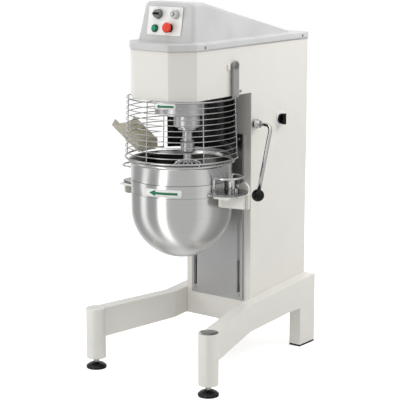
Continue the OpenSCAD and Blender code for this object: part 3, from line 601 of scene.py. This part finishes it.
def make_handles():
    """Each handle is one bent rod: up from the ear, round and down again."""
    reach, grip_r, wire = 224 * MM, 60 * MM, 4.5 * MM
    grip_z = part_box("bowl_handles")[1].z - 5.3 * MM
    post_a, fillet_a = 110.6, 12
    bend_r, bend_run = 9 * MM, 0.03
    mesh = bmesh.new()
    for side in (-1, 1):
        path = []
        for sign in (-1, 1):
            a = math.radians(post_a * sign)
            foot = Vector((reach + grip_r * math.cos(a), grip_r * math.sin(a), EAR_TOP))
            tangent = Vector((math.sin(a), -math.cos(a), 0)) * sign
            top = foot + UP * (grip_z - EAR_TOP)
            bend = filleted([foot, top, top + tangent * bend_run], bend_r)
            path.append(bend[:-1])
        round_part = [Vector((x, y, grip_z)) for x, y in
                      arc(reach, 0, grip_r, -(post_a - fillet_a), post_a - fillet_a, 40)]
        line = path[0] + round_part + path[1][::-1]
        placed = [Vector((side * p.x, p.y, p.z)) + AXIS for p in line]
        tube(mesh, placed, wire, 14)
        for foot in (placed[0], placed[-1]):
            bead = [(wire - 1 * MM, 3 * MM), (wire + 0.6 * MM, 1.6 * MM), (wire + 2.6 * MM, 0)]
            lathe(mesh, bead, Matrix.Translation(Vector((foot.x, foot.y, EAR_TOP))), 24)
    piece("bowl_grips", mesh, "lift", "polished_steel", ["bowl_handles"])


def wrapped_band(mesh, a0, a1, low, high, radius, thickness, steps=24):
    """A curved strip between two angles. Its lower and upper edges are functions of the share along it."""
    columns = []
    for i in range(steps + 1):
        s = i / steps
        a = math.radians(a0 + (a1 - a0) * s)
        turn = Vector((math.cos(a), math.sin(a), 0))
        column = []
        outer = radius + thickness
        for r, z in ((radius, low(s)), (outer, low(s)), (outer, high(s)), (radius, high(s))):
            column.append(mesh.verts.new(AXIS + turn * r + UP * z))
        columns.append(column)
    for before, after in zip(columns, columns[1:]):
        for k in range(4):
            j = (k + 1) % 4
            mesh.faces.new((before[k], before[j], after[j], after[k]))
    mesh.faces.new(columns[0])
    mesh.faces.new(columns[-1])
    return mesh


PLATE_SKIN = 0.7 * MM
INK_SKIN = 0.1 * MM
PLATE_CORNER = 3 * MM
ARROW_POINT = 0.05 * MM


def round_ends(low, high, corner):
    """Edge functions of a strip from low to high with rounded corners over a share of its length."""
    def inset(s):
        near = min(s, 1 - s) / corner
        return 0 if near >= 1 else (1 - math.sqrt(1 - (1 - near) ** 2)) * PLATE_CORNER
    return (lambda s: low + inset(s)), (lambda s: high - inset(s))


def make_plate_with_arrow(name, node, body, a0, span, low, high, radius, arrow):
    """A white curved plate and the green arrow on it, pointing to the smaller angle."""
    mesh = bmesh.new()
    bottom, top = round_ends(low, high, 0.06)
    wrapped_band(mesh, a0, a0 + span, bottom, top, radius, PLATE_SKIN, 40)
    piece(name + "_plate", mesh, body, "white_plastic", [node])
    mid = (low + high) / 2
    tip, neck, tail, half_head, half_bar = arrow
    ink = bmesh.new()

    def stretch(start, end, half, steps):
        """Ink between two shares of the plate, half(s) above and below its middle."""
        below, above = (lambda s: mid - half(s)), (lambda s: mid + half(s))
        first, last = a0 + span * start, a0 + span * end
        wrapped_band(ink, first, last, below, above, radius + PLATE_SKIN, INK_SKIN, steps)

    stretch(tip, neck, lambda s: half_head * s + ARROW_POINT, 12)
    stretch(neck, tail, lambda s: half_bar, 20)
    piece(name + "_arrow", ink, body, "green_ink")


# ---------------------------------------------------------------- whisk
WIRES = 7
WIRE_R = 2.0 * MM
LOOP_R = 112
TOP_R = 66
# Each loop is this much smaller than the one before it, and starts this much higher, in millimetres
LOOP_STEP = 4.6
LOOP_RISE = 3
SIDE_STEPS = 6


def whisk_path(i):
    """One loop: straight side, round bottom, straight side, in the XZ plane of the loop."""
    ball_r = LOOP_R * MM
    ball_z = WHISK_LOW_Z + WIRE_R + ball_r
    r = ball_r - LOOP_STEP * i * MM
    top = Vector(((TOP_R - LOOP_STEP * i) * MM, HUB_TOP_Z + (LOOP_RISE * i - 27) * MM - ball_z))
    touch = math.degrees(math.atan2(top.y, top.x) - math.acos(r / top.length))
    round_start = Vector((r * math.cos(math.radians(touch)), r * math.sin(math.radians(touch))))
    half = [top.lerp(round_start, k / SIDE_STEPS) for k in range(SIDE_STEPS)]
    bottom = [Vector(p) for p in arc(0, 0, r, touch, -180 - touch, 48)]
    over = [Vector((19 * MM, HUB_TOP_Z + 2.5 * MM - ball_z)),
            Vector((34 * MM, HUB_TOP_Z - 2.5 * MM - ball_z))]
    if top.x > 48 * MM:
        over.append(Vector((46 * MM, HUB_TOP_Z - 7.5 * MM - ball_z)))
    half = over + half
    left = [Vector((-p.x, p.y)) for p in reversed(half)]
    return [Vector((p.x, 0, ball_z + p.y)) for p in half + bottom + left]


def make_hub():
    """Neck of the whisk with its flared foot, and the dark cone the wires are drawn down over."""
    low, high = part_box("whisk_hub")
    centre = Matrix.Translation(Vector((ORBIT.x, ORBIT.y, 0)))
    neck_r = 16.5 * MM
    foot = [(0, high.z), (14 * MM, high.z), (14 * MM, high.z - 10 * MM), (neck_r, high.z - 10 * MM)]
    flare_z, flare_out, flare_down = HUB_TOP_Z + 14 * MM, 13 * MM, 16 * MM
    for i in range(11):
        a = math.radians(9 * i)
        foot.append((neck_r + flare_out * (1 - math.cos(a)), flare_z - flare_down * math.sin(a)))
    foot += [(foot[-1][0], HUB_TOP_Z - 6 * MM), (0, HUB_TOP_Z - 6 * MM)]
    piece("whisk_neck", lathe(bmesh.new(), foot, centre, 64), "whisk", "turned_metal", ["whisk_hub"])
    cone_r = (high.x - low.x) / 2
    cone = [(0, HUB_TOP_Z - 5 * MM), (28 * MM, HUB_TOP_Z - 5 * MM), (43 * MM, HUB_TOP_Z - 9 * MM),
            (cone_r, low.z + 1.5 * MM), (cone_r - 1 * MM, low.z), (0, low.z)]
    piece("whisk_cone", lathe(bmesh.new(), cone, centre, 72), "whisk", "dark_metal")


def make_whisk():
    mesh = bmesh.new()
    centre = Matrix.Translation(Vector((ORBIT.x, ORBIT.y, 0)))
    for i in range(WIRES):
        turn = centre @ Matrix.Rotation(math.pi * i / WIRES, 4, "Z")
        tube(mesh, [turn @ p for p in whisk_path(i)], WIRE_R, 10)
    piece("whisk_loops", mesh, "whisk", "whisk_steel", ["whisk_wires"])


# ---------------------------------------------------------------- guard
CHUTE_OUT_X = -0.310
CHUTE_OUT_Z = 0.973
CHUTE_SLOPE = math.radians(34.6)
CHUTE_MOUTH = Matrix.Translation((CHUTE_OUT_X, AXIS.y, CHUTE_OUT_Z))
CHUTE_PLACE = CHUTE_MOUTH @ Matrix.Rotation(CHUTE_SLOPE, 4, "Y")
CHUTE_INTO = CHUTE_PLACE.inverted()


# The chute and a little room round it, where the hoops stop
CHUTE_RUN = 176 * MM
CHUTE_HALF_W = 61 * MM
CHUTE_TALL = 33 * MM
BAR_IN = 3.2 * MM
BAR_R = 2 * MM
BARS = 5


def in_chute(p):
    """Whether a point of a hoop lies in the filling chute, which the wires stop short of."""
    q = CHUTE_INTO @ p
    return -1 * MM < q.x < CHUTE_RUN and abs(q.y) < CHUTE_HALF_W and -2 * MM < q.z < CHUTE_TALL


def hoop_path(i):
    share = i / (HOOPS - 1)
    r = HOOP_TOP_R + (HOOP_LOW_R - HOOP_TOP_R) * share
    z = HOOP_TOP_Z - (HOOP_TOP_Z - HOOP_LOW_Z) * share
    return [AXIS + Vector((x, y, z)) for x, y in arc(0, 0, r, HOOP_START, HOOP_START + HOOP_SPAN, 244)]


def runs_outside_chute(path):
    """Splits a hoop into the runs of three points or more that lie outside the chute."""
    runs, run = [], []
    for p in path:
        if in_chute(p):
            if len(run) > 2:
                runs.append(run)
            run = []
        else:
            run.append(p)
    if len(run) > 2:
        runs.append(run)
    return runs


def make_guard():
    mesh = bmesh.new()
    for i in range(HOOPS):
        wire = 3 * MM if i == 0 else 4 * MM if i == HOOPS - 1 else 1.8 * MM
        for run in runs_outside_chute(hoop_path(i)):
            tube(mesh, run, wire, 12)
    for k in range(BARS):
        a = math.radians(HOOP_START + k * HOOP_SPAN / (BARS - 1))
        turn = Vector((math.cos(a), math.sin(a), 0))
        top = AXIS + turn * (HOOP_TOP_R - BAR_IN) + UP * (HOOP_TOP_Z + 2 * MM)
        low = AXIS + turn * (HOOP_LOW_R - BAR_IN) + UP * (HOOP_LOW_Z - 2 * MM)
        tube(mesh, [top.lerp(low, s / 24) for s in range(25)], BAR_R, 12)
    piece("guard_wires", mesh, "visor", "wire_steel", ["guard_cage"])


# ---------------------------------------------------------------- controls
def knob_profile(layers):
    """Closed profile from (radius, height) pairs in millimetres, starting and ending on the axis."""
    return [(0, layers[0][1] * MM)] + scaled(layers) + [(0, layers[-1][1] * MM)]


def make_timer():
    place = on_face(*TIMER_AT, PLATE_T)
    mesh = bmesh.new()
    flutes = []
    for i in range(72):
        r = 18.6 + 0.7 * math.cos(i * math.pi)
        a = i * math.pi / 36
        flutes.append((r * math.cos(a), r * math.sin(a)))
    prism(mesh, scaled(flutes), 5 * MM, place @ Matrix.Translation((0, 0, 0.4 * MM)))
    lathe(mesh, knob_profile([(17.6, 5.2), (17.2, 12), (16.6, 17.6), (15.8, 19), (14.5, 19.5)]), place, 72)
    lathe(mesh, knob_profile([(3.9, -8), (3.9, 1)]), place, 32)
    piece("timer_body", mesh, "timer", "grey_plastic", ["timer_knob"])
    bar = bmesh.new()
    prism(bar, scaled(rounded_box(31, 8, 3)), 2.9 * MM, place @ Matrix.Translation((0, 0, 19.4 * MM)))
    piece("timer_pointer", bar, "timer", "black_plastic", bevel=0.4 * MM)


def make_selector():
    place = on_face(*SELECTOR_AT, PLATE_T)
    mesh = bmesh.new()
    octagon = arc(0, 0, 16.4, 22.5, 337.5, 7)
    prism(mesh, scaled(octagon), 13 * MM, place @ Matrix.Translation((0, 0, 4.4 * MM)))
    lathe(mesh, knob_profile([(17.8, 0.4), (18, 1.2), (18, 3.8), (17.4, 4.4)]), place, 64)
    lathe(mesh, knob_profile([(3.9, -8), (3.9, 1)]), place, 32)
    piece("selector_body", mesh, "selector", "light_plastic", ["selector_knob"], bevel=0.8 * MM)
    mark = bmesh.new()
    chevron = [(0, 11), (8, 2), (8, -2.5), (0, 6.5), (-8, -2.5), (-8, 2)]
    right = Matrix.Rotation(-math.pi / 2, 4, "Z") @ Matrix.Translation((0, -3 * MM, 17.3 * MM))
    prism(mark, scaled(chevron), 0.2 * MM, place @ right)
    piece("selector_mark", mark, "selector", "black_plastic")


def make_buttons():
    start = on_face(*START_AT, PLATE_T)
    mesh = lathe(bmesh.new(), knob_profile([(9, -10), (9, 9), (8.4, 10), (6.5, 10.4), (3, 10.5)]), start, 56)
    piece("start_cap", mesh, "start", "green_plastic", ["start_button"])
    inner, outer, low, high = 9.6, 12.4, BEZEL_TOP, BEZEL_TOP + 1
    section = [(inner, low), (outer, low), (outer, low + 0.6), (outer - 0.6, high), (inner + 0.6, high),
               (inner, low + 0.6), (inner, low)]
    ring = lathe(bmesh.new(), scaled(section), start, 56)
    piece("start_ring", ring, "frame", "green_plastic")
    stop = on_face(*STOP_AT, PLATE_T)
    profile = [(9, -10), (9, 12), (17.6, 12), (18, 12.4), (18, 14.6), (19.4, 15.3), (20, 16.6), (20, 19.2),
               (19, 21.6), (16, 23.2), (11, 23.9), (5, 24)]
    mesh = lathe(bmesh.new(), knob_profile(profile), stop, 72)
    piece("stop_cap", mesh, "stop", "red_plastic", ["stop_button"])


DIAL_START = 240
DIAL_SPAN = 300
DIAL_STEPS = 12
DIAL_R = 23.5
INK_T = 0.1 * MM


def make_dial_marks():
    """Plain ticks round the timer and two round marks above the selector."""
    mesh = bmesh.new()
    for i in range(DIAL_STEPS + 1):
        a = math.radians(DIAL_START - DIAL_SPAN * i / DIAL_STEPS)
        long = 4 if i % 3 == 0 else 2.5
        tick = on_face(TIMER_AT[0] + DIAL_R * math.cos(a), TIMER_AT[1] + DIAL_R * math.sin(a), PLATE_T)
        turn = Matrix.Rotation(a, 4, "Z")
        prism(mesh, scaled([(0, -0.4), (long, -0.4), (long, 0.4), (0, 0.4)]), INK_T, tick @ turn)
    for u in (26, 60):
        prism(mesh, scaled(arc(0, 0, 1.6, 0, 345, 23)), INK_T, on_face(u, 127, PLATE_T))
    piece("dial_marks", mesh, "frame", "black_plastic")


# ---------------------------------------------------------------- slot lips
LIPS_LOW_Z = 421 * MM


def make_slot_lips():
    """Two lips close each slot of the front panel above its open lower end.

    They are looks only and do not bend, so the yoke's arms cut through them.
    """
    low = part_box("front_panel")[0]
    slot_x, half, gap, thick = 110 * MM, 6.9 * MM, 0.3 * MM, 1.2 * MM
    tall = EAR_TOP + 20 * MM - LIPS_LOW_Z
    place = Matrix.Translation((0, low.y + 1 * MM, LIPS_LOW_Z))
    mesh = bmesh.new()
    for side in (-1, 1):
        for edge in (-1, 1):
            near, far = slot_x + edge * gap, slot_x + edge * half
            across = [(side * near, 0), (side * far, 0), (side * far, thick), (side * near, thick)]
            prism(mesh, across, tall, place)
    piece("slot_lips", mesh, "frame", "lip_rubber")


# ---------------------------------------------------------------- leg caps
def make_caps():
    """A slightly domed disc pressed into the top of each front leg."""
    low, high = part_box("leg_caps")
    cap_r = (high.y - low.y) / 2
    mesh = bmesh.new()
    rise = 3.2 * MM
    dome = []
    for i in range(11):
        a = math.radians(9 * i)
        dome.append((cap_r * math.sin(a), high.z - rise * (1 - math.cos(a))))
    profile = dome + [(cap_r, low.z), (0, low.z)]
    for x in (low.x + cap_r, high.x - cap_r):
        lathe(mesh, profile, Matrix.Translation(Vector((x, (low.y + high.y) / 2, 0))), 64)
    piece("cap_discs", mesh, "frame", "cap_steel", ["leg_caps"])


# ---------------------------------------------------------------- lever
def make_lever():
    """Turned hub, then one tube bent down to the ball."""
    low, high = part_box("lever_arm")
    knob_low, knob_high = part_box("lever_knob")
    ball = (knob_low + knob_high) / 2
    hub_r, tube_r, elbow_r = 19 * MM, 8 * MM, 24 * MM
    elbow = Vector((ball.x, high.y - hub_r, high.z - hub_r))
    mesh = bmesh.new()
    hub = [(0, 0), (hub_r, 0), (hub_r, 13 * MM), (hub_r - 1.5 * MM, 14.5 * MM), (hub_r - 4 * MM, 14.5 * MM),
           (hub_r - 4 * MM, 26 * MM), (hub_r - 5.5 * MM, 28 * MM), (0, 28 * MM)]
    lathe(mesh, hub, frame_at(Vector((low.x, elbow.y, elbow.z)), (1, 0, 0), UP), 48)
    start = Vector((low.x + 27 * MM, elbow.y, elbow.z))
    end = ball - (ball - elbow).normalized() * 10 * MM
    tube(mesh, filleted([start, elbow, end], elbow_r, 12), tube_r, 24)
    piece("lever_tube", mesh, "lever", "polished_steel", ["lever_arm"])


# ---------------------------------------------------------------- screws and louvres
def screw_head(mesh, origin, outward, radius, height):
    """A domed head with a round socket."""
    hint = Vector((1, 0, 0)) if outward[2] else UP
    place = frame_at(origin, outward, hint)
    socket = radius * 0.5
    dome = [(radius, 0), (radius, height * 0.45), (radius * 0.92, height * 0.78), (radius * 0.72, height)]
    dome += [(socket, height), (socket, height * 0.45), (0, height * 0.4)]
    lathe(mesh, [(0, 0)] + dome, place, 36)


def make_screws():
    column_low, column_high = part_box("column_shell")
    cover_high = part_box("rear_cover")[1]
    panel_low, panel_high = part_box("front_panel")
    lip_low, lip_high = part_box("top_cover")
    side_in, base_in, end_in, slot_x = 0.012, 0.025, 0.020, 0.110
    mesh = bmesh.new()
    for side in (-1, 1):
        for z in (column_low.z + end_in, 0.535, 0.915, column_high.z - 0.016):
            at = (side * (column_high.x - side_in), cover_high.y, z)
            screw_head(mesh, at, (0, 1, 0), 6 * MM, 3.4 * MM)
        for y in (AXIS.y - 0.066, 0.394):
            screw_head(mesh, (side * lip_high.x, y, lip_low.z + 0.012), (side, 0, 0), 5.5 * MM, 2.9 * MM)
        for z in (panel_low.z + end_in, panel_high.z - end_in):
            screw_head(mesh, (side * slot_x, panel_low.y, z), (0, -1, 0), 6 * MM, 2.9 * MM)
        for y in (0.070, 0.377):
            at = (side * (column_high.x - base_in), y, column_low.z)
            screw_head(mesh, at, (0, 0, -1), 8 * MM, 4.9 * MM)
    screw_head(mesh, (column_high.x, AXIS.y + 0.165, 1.124), (1, 0, 0), 6 * MM, 3.9 * MM)
    piece("screw_heads", mesh, "frame", "zinc_steel", ["cover_screws"])


LOUVRES = 10
LOUVRE_LOW_Z = 1.020
LOUVRE_PITCH = 0.016
LOUVRE_X = 0.070
LOUVRE_HALF = 0.042


def make_louvres():
    """A pressed hood over each slot of the rear cover."""
    mesh = bmesh.new()
    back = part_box("rear_cover")[1].y
    for side in (-1, 1):
        for row in range(LOUVRES):
            z = LOUVRE_LOW_Z + row * LOUVRE_PITCH
            sheet = []
            for k in range(7):
                a = math.radians(15 * k)
                y = back - 0.2 * MM + 3.4 * MM * math.sin(a)
                sheet.append((y, z + 0.011 - 0.010 * (1 - math.cos(a))))
            edges = []
            for skin in (0.0, 0.8 * MM):
                for x in (side * LOUVRE_X - LOUVRE_HALF, side * LOUVRE_X + LOUVRE_HALF):
                    edges.append([mesh.verts.new((x, y - skin, h - skin)) for y, h in sheet])
            low, high, back_low, back_high = edges
            for a, b in ((low, high), (back_low, back_high)):
                for k in range(6):
                    mesh.faces.new((a[k], b[k], b[k + 1], a[k + 1]))
            for a, b in ((low, back_low), (high, back_high)):
                for k in range(6):
                    mesh.faces.new((a[k], a[k + 1], b[k + 1], b[k]))
            for k in (0, 6):
                mesh.faces.new((low[k], high[k], back_high[k], back_low[k]))
    piece("louvre_hoods", mesh, "frame", "ivory_paint")


# ---------------------------------------------------------------- studio
CAMERA_AT = Vector((3.4446, -4.5589, 1.8286))
CAMERA_YAW = math.radians(37.576)
CAMERA_PITCH = math.radians(11.535)


def make_camera():
    data = bpy.data.cameras.new("camera")
    data.sensor_width = 36
    data.lens = 129.05
    data.clip_start = 0.1
    data.clip_end = 60
    camera = bpy.data.objects.new("camera", data)
    camera.location = CAMERA_AT
    camera.rotation_euler = (math.pi / 2 - CAMERA_PITCH, 0, CAMERA_YAW)
    bpy.context.scene.collection.objects.link(camera)
    bpy.context.scene.camera = camera


LAMP_CENTRE = Vector((0, -0.2, 0))


def softbox(name, azimuth, distance, height, width, tall, power, aim=Vector((0, -0.1, 0.8))):
    """An area light at an azimuth round the object, measured from +X, aimed at it."""
    a = math.radians(azimuth)
    data = bpy.data.lights.new(name, "AREA")
    data.shape = "RECTANGLE"
    data.size = width
    data.size_y = tall
    data.energy = power
    lamp = bpy.data.objects.new(name, data)
    lamp.location = Vector((distance * math.cos(a), distance * math.sin(a), height)) + LAMP_CENTRE
    lamp.rotation_euler = (aim - lamp.location).to_track_quat("-Z", "Y").to_euler()
    lamp.visible_camera = False
    lamp.visible_glossy = False
    bpy.context.scene.collection.objects.link(lamp)


# Brightness of the room: left and right for plain light, dark and top for what the metal sees
ROOM_LEFT = 0.42
ROOM_RIGHT = 0.70
ROOM_DARK = 0.34
ROOM_TOP = 0.5
# Upright panels as the metal sees them: azimuth, half width and soft edge in degrees, brightness
PANELS = (
    (-98, 7, 4, 2.4),
    (-148, 5, 7, 1.0),
    (-150, 45, 20, 0.13),
    (-48, 33, 10, 0.33),
    (3, 6, 16, 0.62),
    (30, 8, 14, 0.14),
    (128, 24, 15, 0.6),
)


def seen_panels(tree, split):
    """Adds up the upright panels round the object, by the azimuth of a direction."""
    azimuth = tree.nodes.new("ShaderNodeMath")
    azimuth.operation = "ARCTAN2"
    tree.links.new(split.outputs["Y"], azimuth.inputs[0])
    tree.links.new(split.outputs["X"], azimuth.inputs[1])
    total = None
    for centre, half, edge, brightness in PANELS:
        away = tree.nodes.new("ShaderNodeMath")
        away.operation = "SUBTRACT"
        away.inputs[1].default_value = math.radians(centre)
        near = tree.nodes.new("ShaderNodeMath")
        near.operation = "WRAP"
        near.inputs[1].default_value = math.pi
        near.inputs[2].default_value = -math.pi
        gap = tree.nodes.new("ShaderNodeMath")
        gap.operation = "ABSOLUTE"
        share = tree.nodes.new("ShaderNodeMapRange")
        share.inputs["From Min"].default_value = math.radians(half + edge)
        share.inputs["From Max"].default_value = math.radians(half)
        share.inputs["To Max"].default_value = brightness
        add = tree.nodes.new("ShaderNodeMath")
        add.operation = "ADD"
        add.inputs[1].default_value = ROOM_DARK
        tree.links.new(azimuth.outputs["Value"], away.inputs[0])
        tree.links.new(away.outputs["Value"], near.inputs[0])
        tree.links.new(near.outputs["Value"], gap.inputs[0])
        tree.links.new(gap.outputs["Value"], share.inputs["Value"])
        tree.links.new(share.outputs["Result"], add.inputs[0])
        if total is not None:
            tree.links.new(total, add.inputs[1])
        total = add.outputs["Value"]
    above = tree.nodes.new("ShaderNodeMapRange")
    above.inputs["From Min"].default_value = 0.35
    above.inputs["From Max"].default_value = 0.80
    above.inputs["To Max"].default_value = ROOM_TOP
    both = tree.nodes.new("ShaderNodeMath")
    both.operation = "ADD"
    tree.links.new(split.outputs["Z"], above.inputs["Value"])
    tree.links.new(above.outputs["Result"], both.inputs[0])
    tree.links.new(total, both.inputs[1])
    return both.outputs["Value"]


def make_studio():
    world = bpy.data.worlds.new("studio")
    world.use_nodes = True
    tree = world.node_tree
    tree.nodes.clear()
    out = tree.nodes.new("ShaderNodeOutputWorld")
    mix = tree.nodes.new("ShaderNodeMixShader")
    seen = tree.nodes.new("ShaderNodeLightPath")
    room = tree.nodes.new("ShaderNodeBackground")
    room.inputs["Color"].default_value = (1.0, 0.995, 0.985, 1)
    direction = tree.nodes.new("ShaderNodeTexCoord")
    split = tree.nodes.new("ShaderNodeSeparateXYZ")
    level = tree.nodes.new("ShaderNodeMapRange")
    level.inputs["From Min"].default_value = -1
    level.inputs["To Min"].default_value = ROOM_LEFT
    level.inputs["To Max"].default_value = ROOM_RIGHT
    either = tree.nodes.new("ShaderNodeMix")
    tree.links.new(direction.outputs["Generated"], split.inputs["Vector"])
    tree.links.new(split.outputs["X"], level.inputs["Value"])
    tree.links.new(seen.outputs["Is Glossy Ray"], either.inputs["Factor"])
    tree.links.new(level.outputs["Result"], either.inputs["A"])
    tree.links.new(seen_panels(tree, split), either.inputs["B"])
    tree.links.new(either.outputs["Result"], room.inputs["Strength"])
    backdrop = tree.nodes.new("ShaderNodeBackground")
    backdrop.inputs["Color"].default_value = (1, 1, 1, 1)
    backdrop.inputs["Strength"].default_value = 1.0
    tree.links.new(seen.outputs["Is Camera Ray"], mix.inputs["Fac"])
    tree.links.new(room.outputs["Background"], mix.inputs[1])
    tree.links.new(backdrop.outputs["Background"], mix.inputs[2])
    tree.links.new(mix.outputs["Shader"], out.inputs["Surface"])
    bpy.context.scene.world = world
    softbox("front_box", azimuth=-97, distance=3.4, height=1.4, width=0.45, tall=2.6, power=12)
    softbox("left_box", azimuth=-140, distance=3.6, height=1.4, width=1.8, tall=2.4, power=48)
    softbox("right_box", azimuth=40, distance=2.6, height=3.0, width=2.0, tall=1.2, power=56,
            aim=Vector((0, -0.1, 1.3)))
    softbox("top_box", azimuth=-60, distance=0.8, height=4.2, width=2.6, tall=2.6, power=25)
    softbox("rear_box", azimuth=130, distance=4.2, height=2.2, width=2.6, tall=2.4, power=34)
    settings = bpy.context.scene.view_settings
    settings.view_transform = "Standard"
    settings.look = "None"


def make_floor():
    """A wide pale floor. The camera sees it nearly white, and it lights the object as plain paint."""
    mesh = bmesh.new()
    bmesh.ops.create_grid(mesh, x_segments=1, y_segments=1, size=30)
    data = bpy.data.meshes.new("floor")
    mesh.to_mesh(data)
    mesh.free()
    floor = bpy.data.objects.new("floor", data)
    bpy.context.scene.collection.objects.link(floor)
    floor.visible_glossy = False
    mat = new_material("floor_paint", 0.0, 0.7)
    tree = mat.node_tree
    paint(mat, noise(mat, 2.0, 3), (0.80, 0.80, 0.80), (0.83, 0.83, 0.83))
    shader = tree.nodes["Principled BSDF"]
    shader.inputs["Specular IOR Level"].default_value = 0.1
    seen = tree.nodes.new("ShaderNodeLightPath")
    lift = tree.nodes.new("ShaderNodeMath")
    lift.operation = "MULTIPLY"
    lift.inputs[1].default_value = 0.52
    shader.inputs["Emission Color"].default_value = (1, 1, 1, 1)
    tree.links.new(seen.outputs["Is Camera Ray"], lift.inputs[0])
    tree.links.new(lift.outputs["Value"], shader.inputs["Emission Strength"])
    data.materials.append(mat)


carry_over()
make_body_sheet()
make_bowl()
make_handles()
make_plate_with_arrow("bowl_sign", "bowl_label", "lift", a0=-95, span=43, low=0.742, high=0.773,
                      radius=BOWL_R, arrow=(0.10, 0.30, 0.90, 12 * MM, 4.8 * MM))
make_plate_with_arrow("guard_sign", "guard_label", "visor", a0=-79, span=21, low=1.084, high=1.105,
                      radius=HOOP_TOP_R + BAR_IN, arrow=(0.08, 0.22, 0.92, 8 * MM, 4.2 * MM))
make_hub()
make_whisk()
make_guard()
make_timer()
make_selector()
make_buttons()
make_dial_marks()
make_slot_lips()
make_caps()
make_lever()
make_screws()
make_louvres()
make_camera()
make_studio()
make_floor()
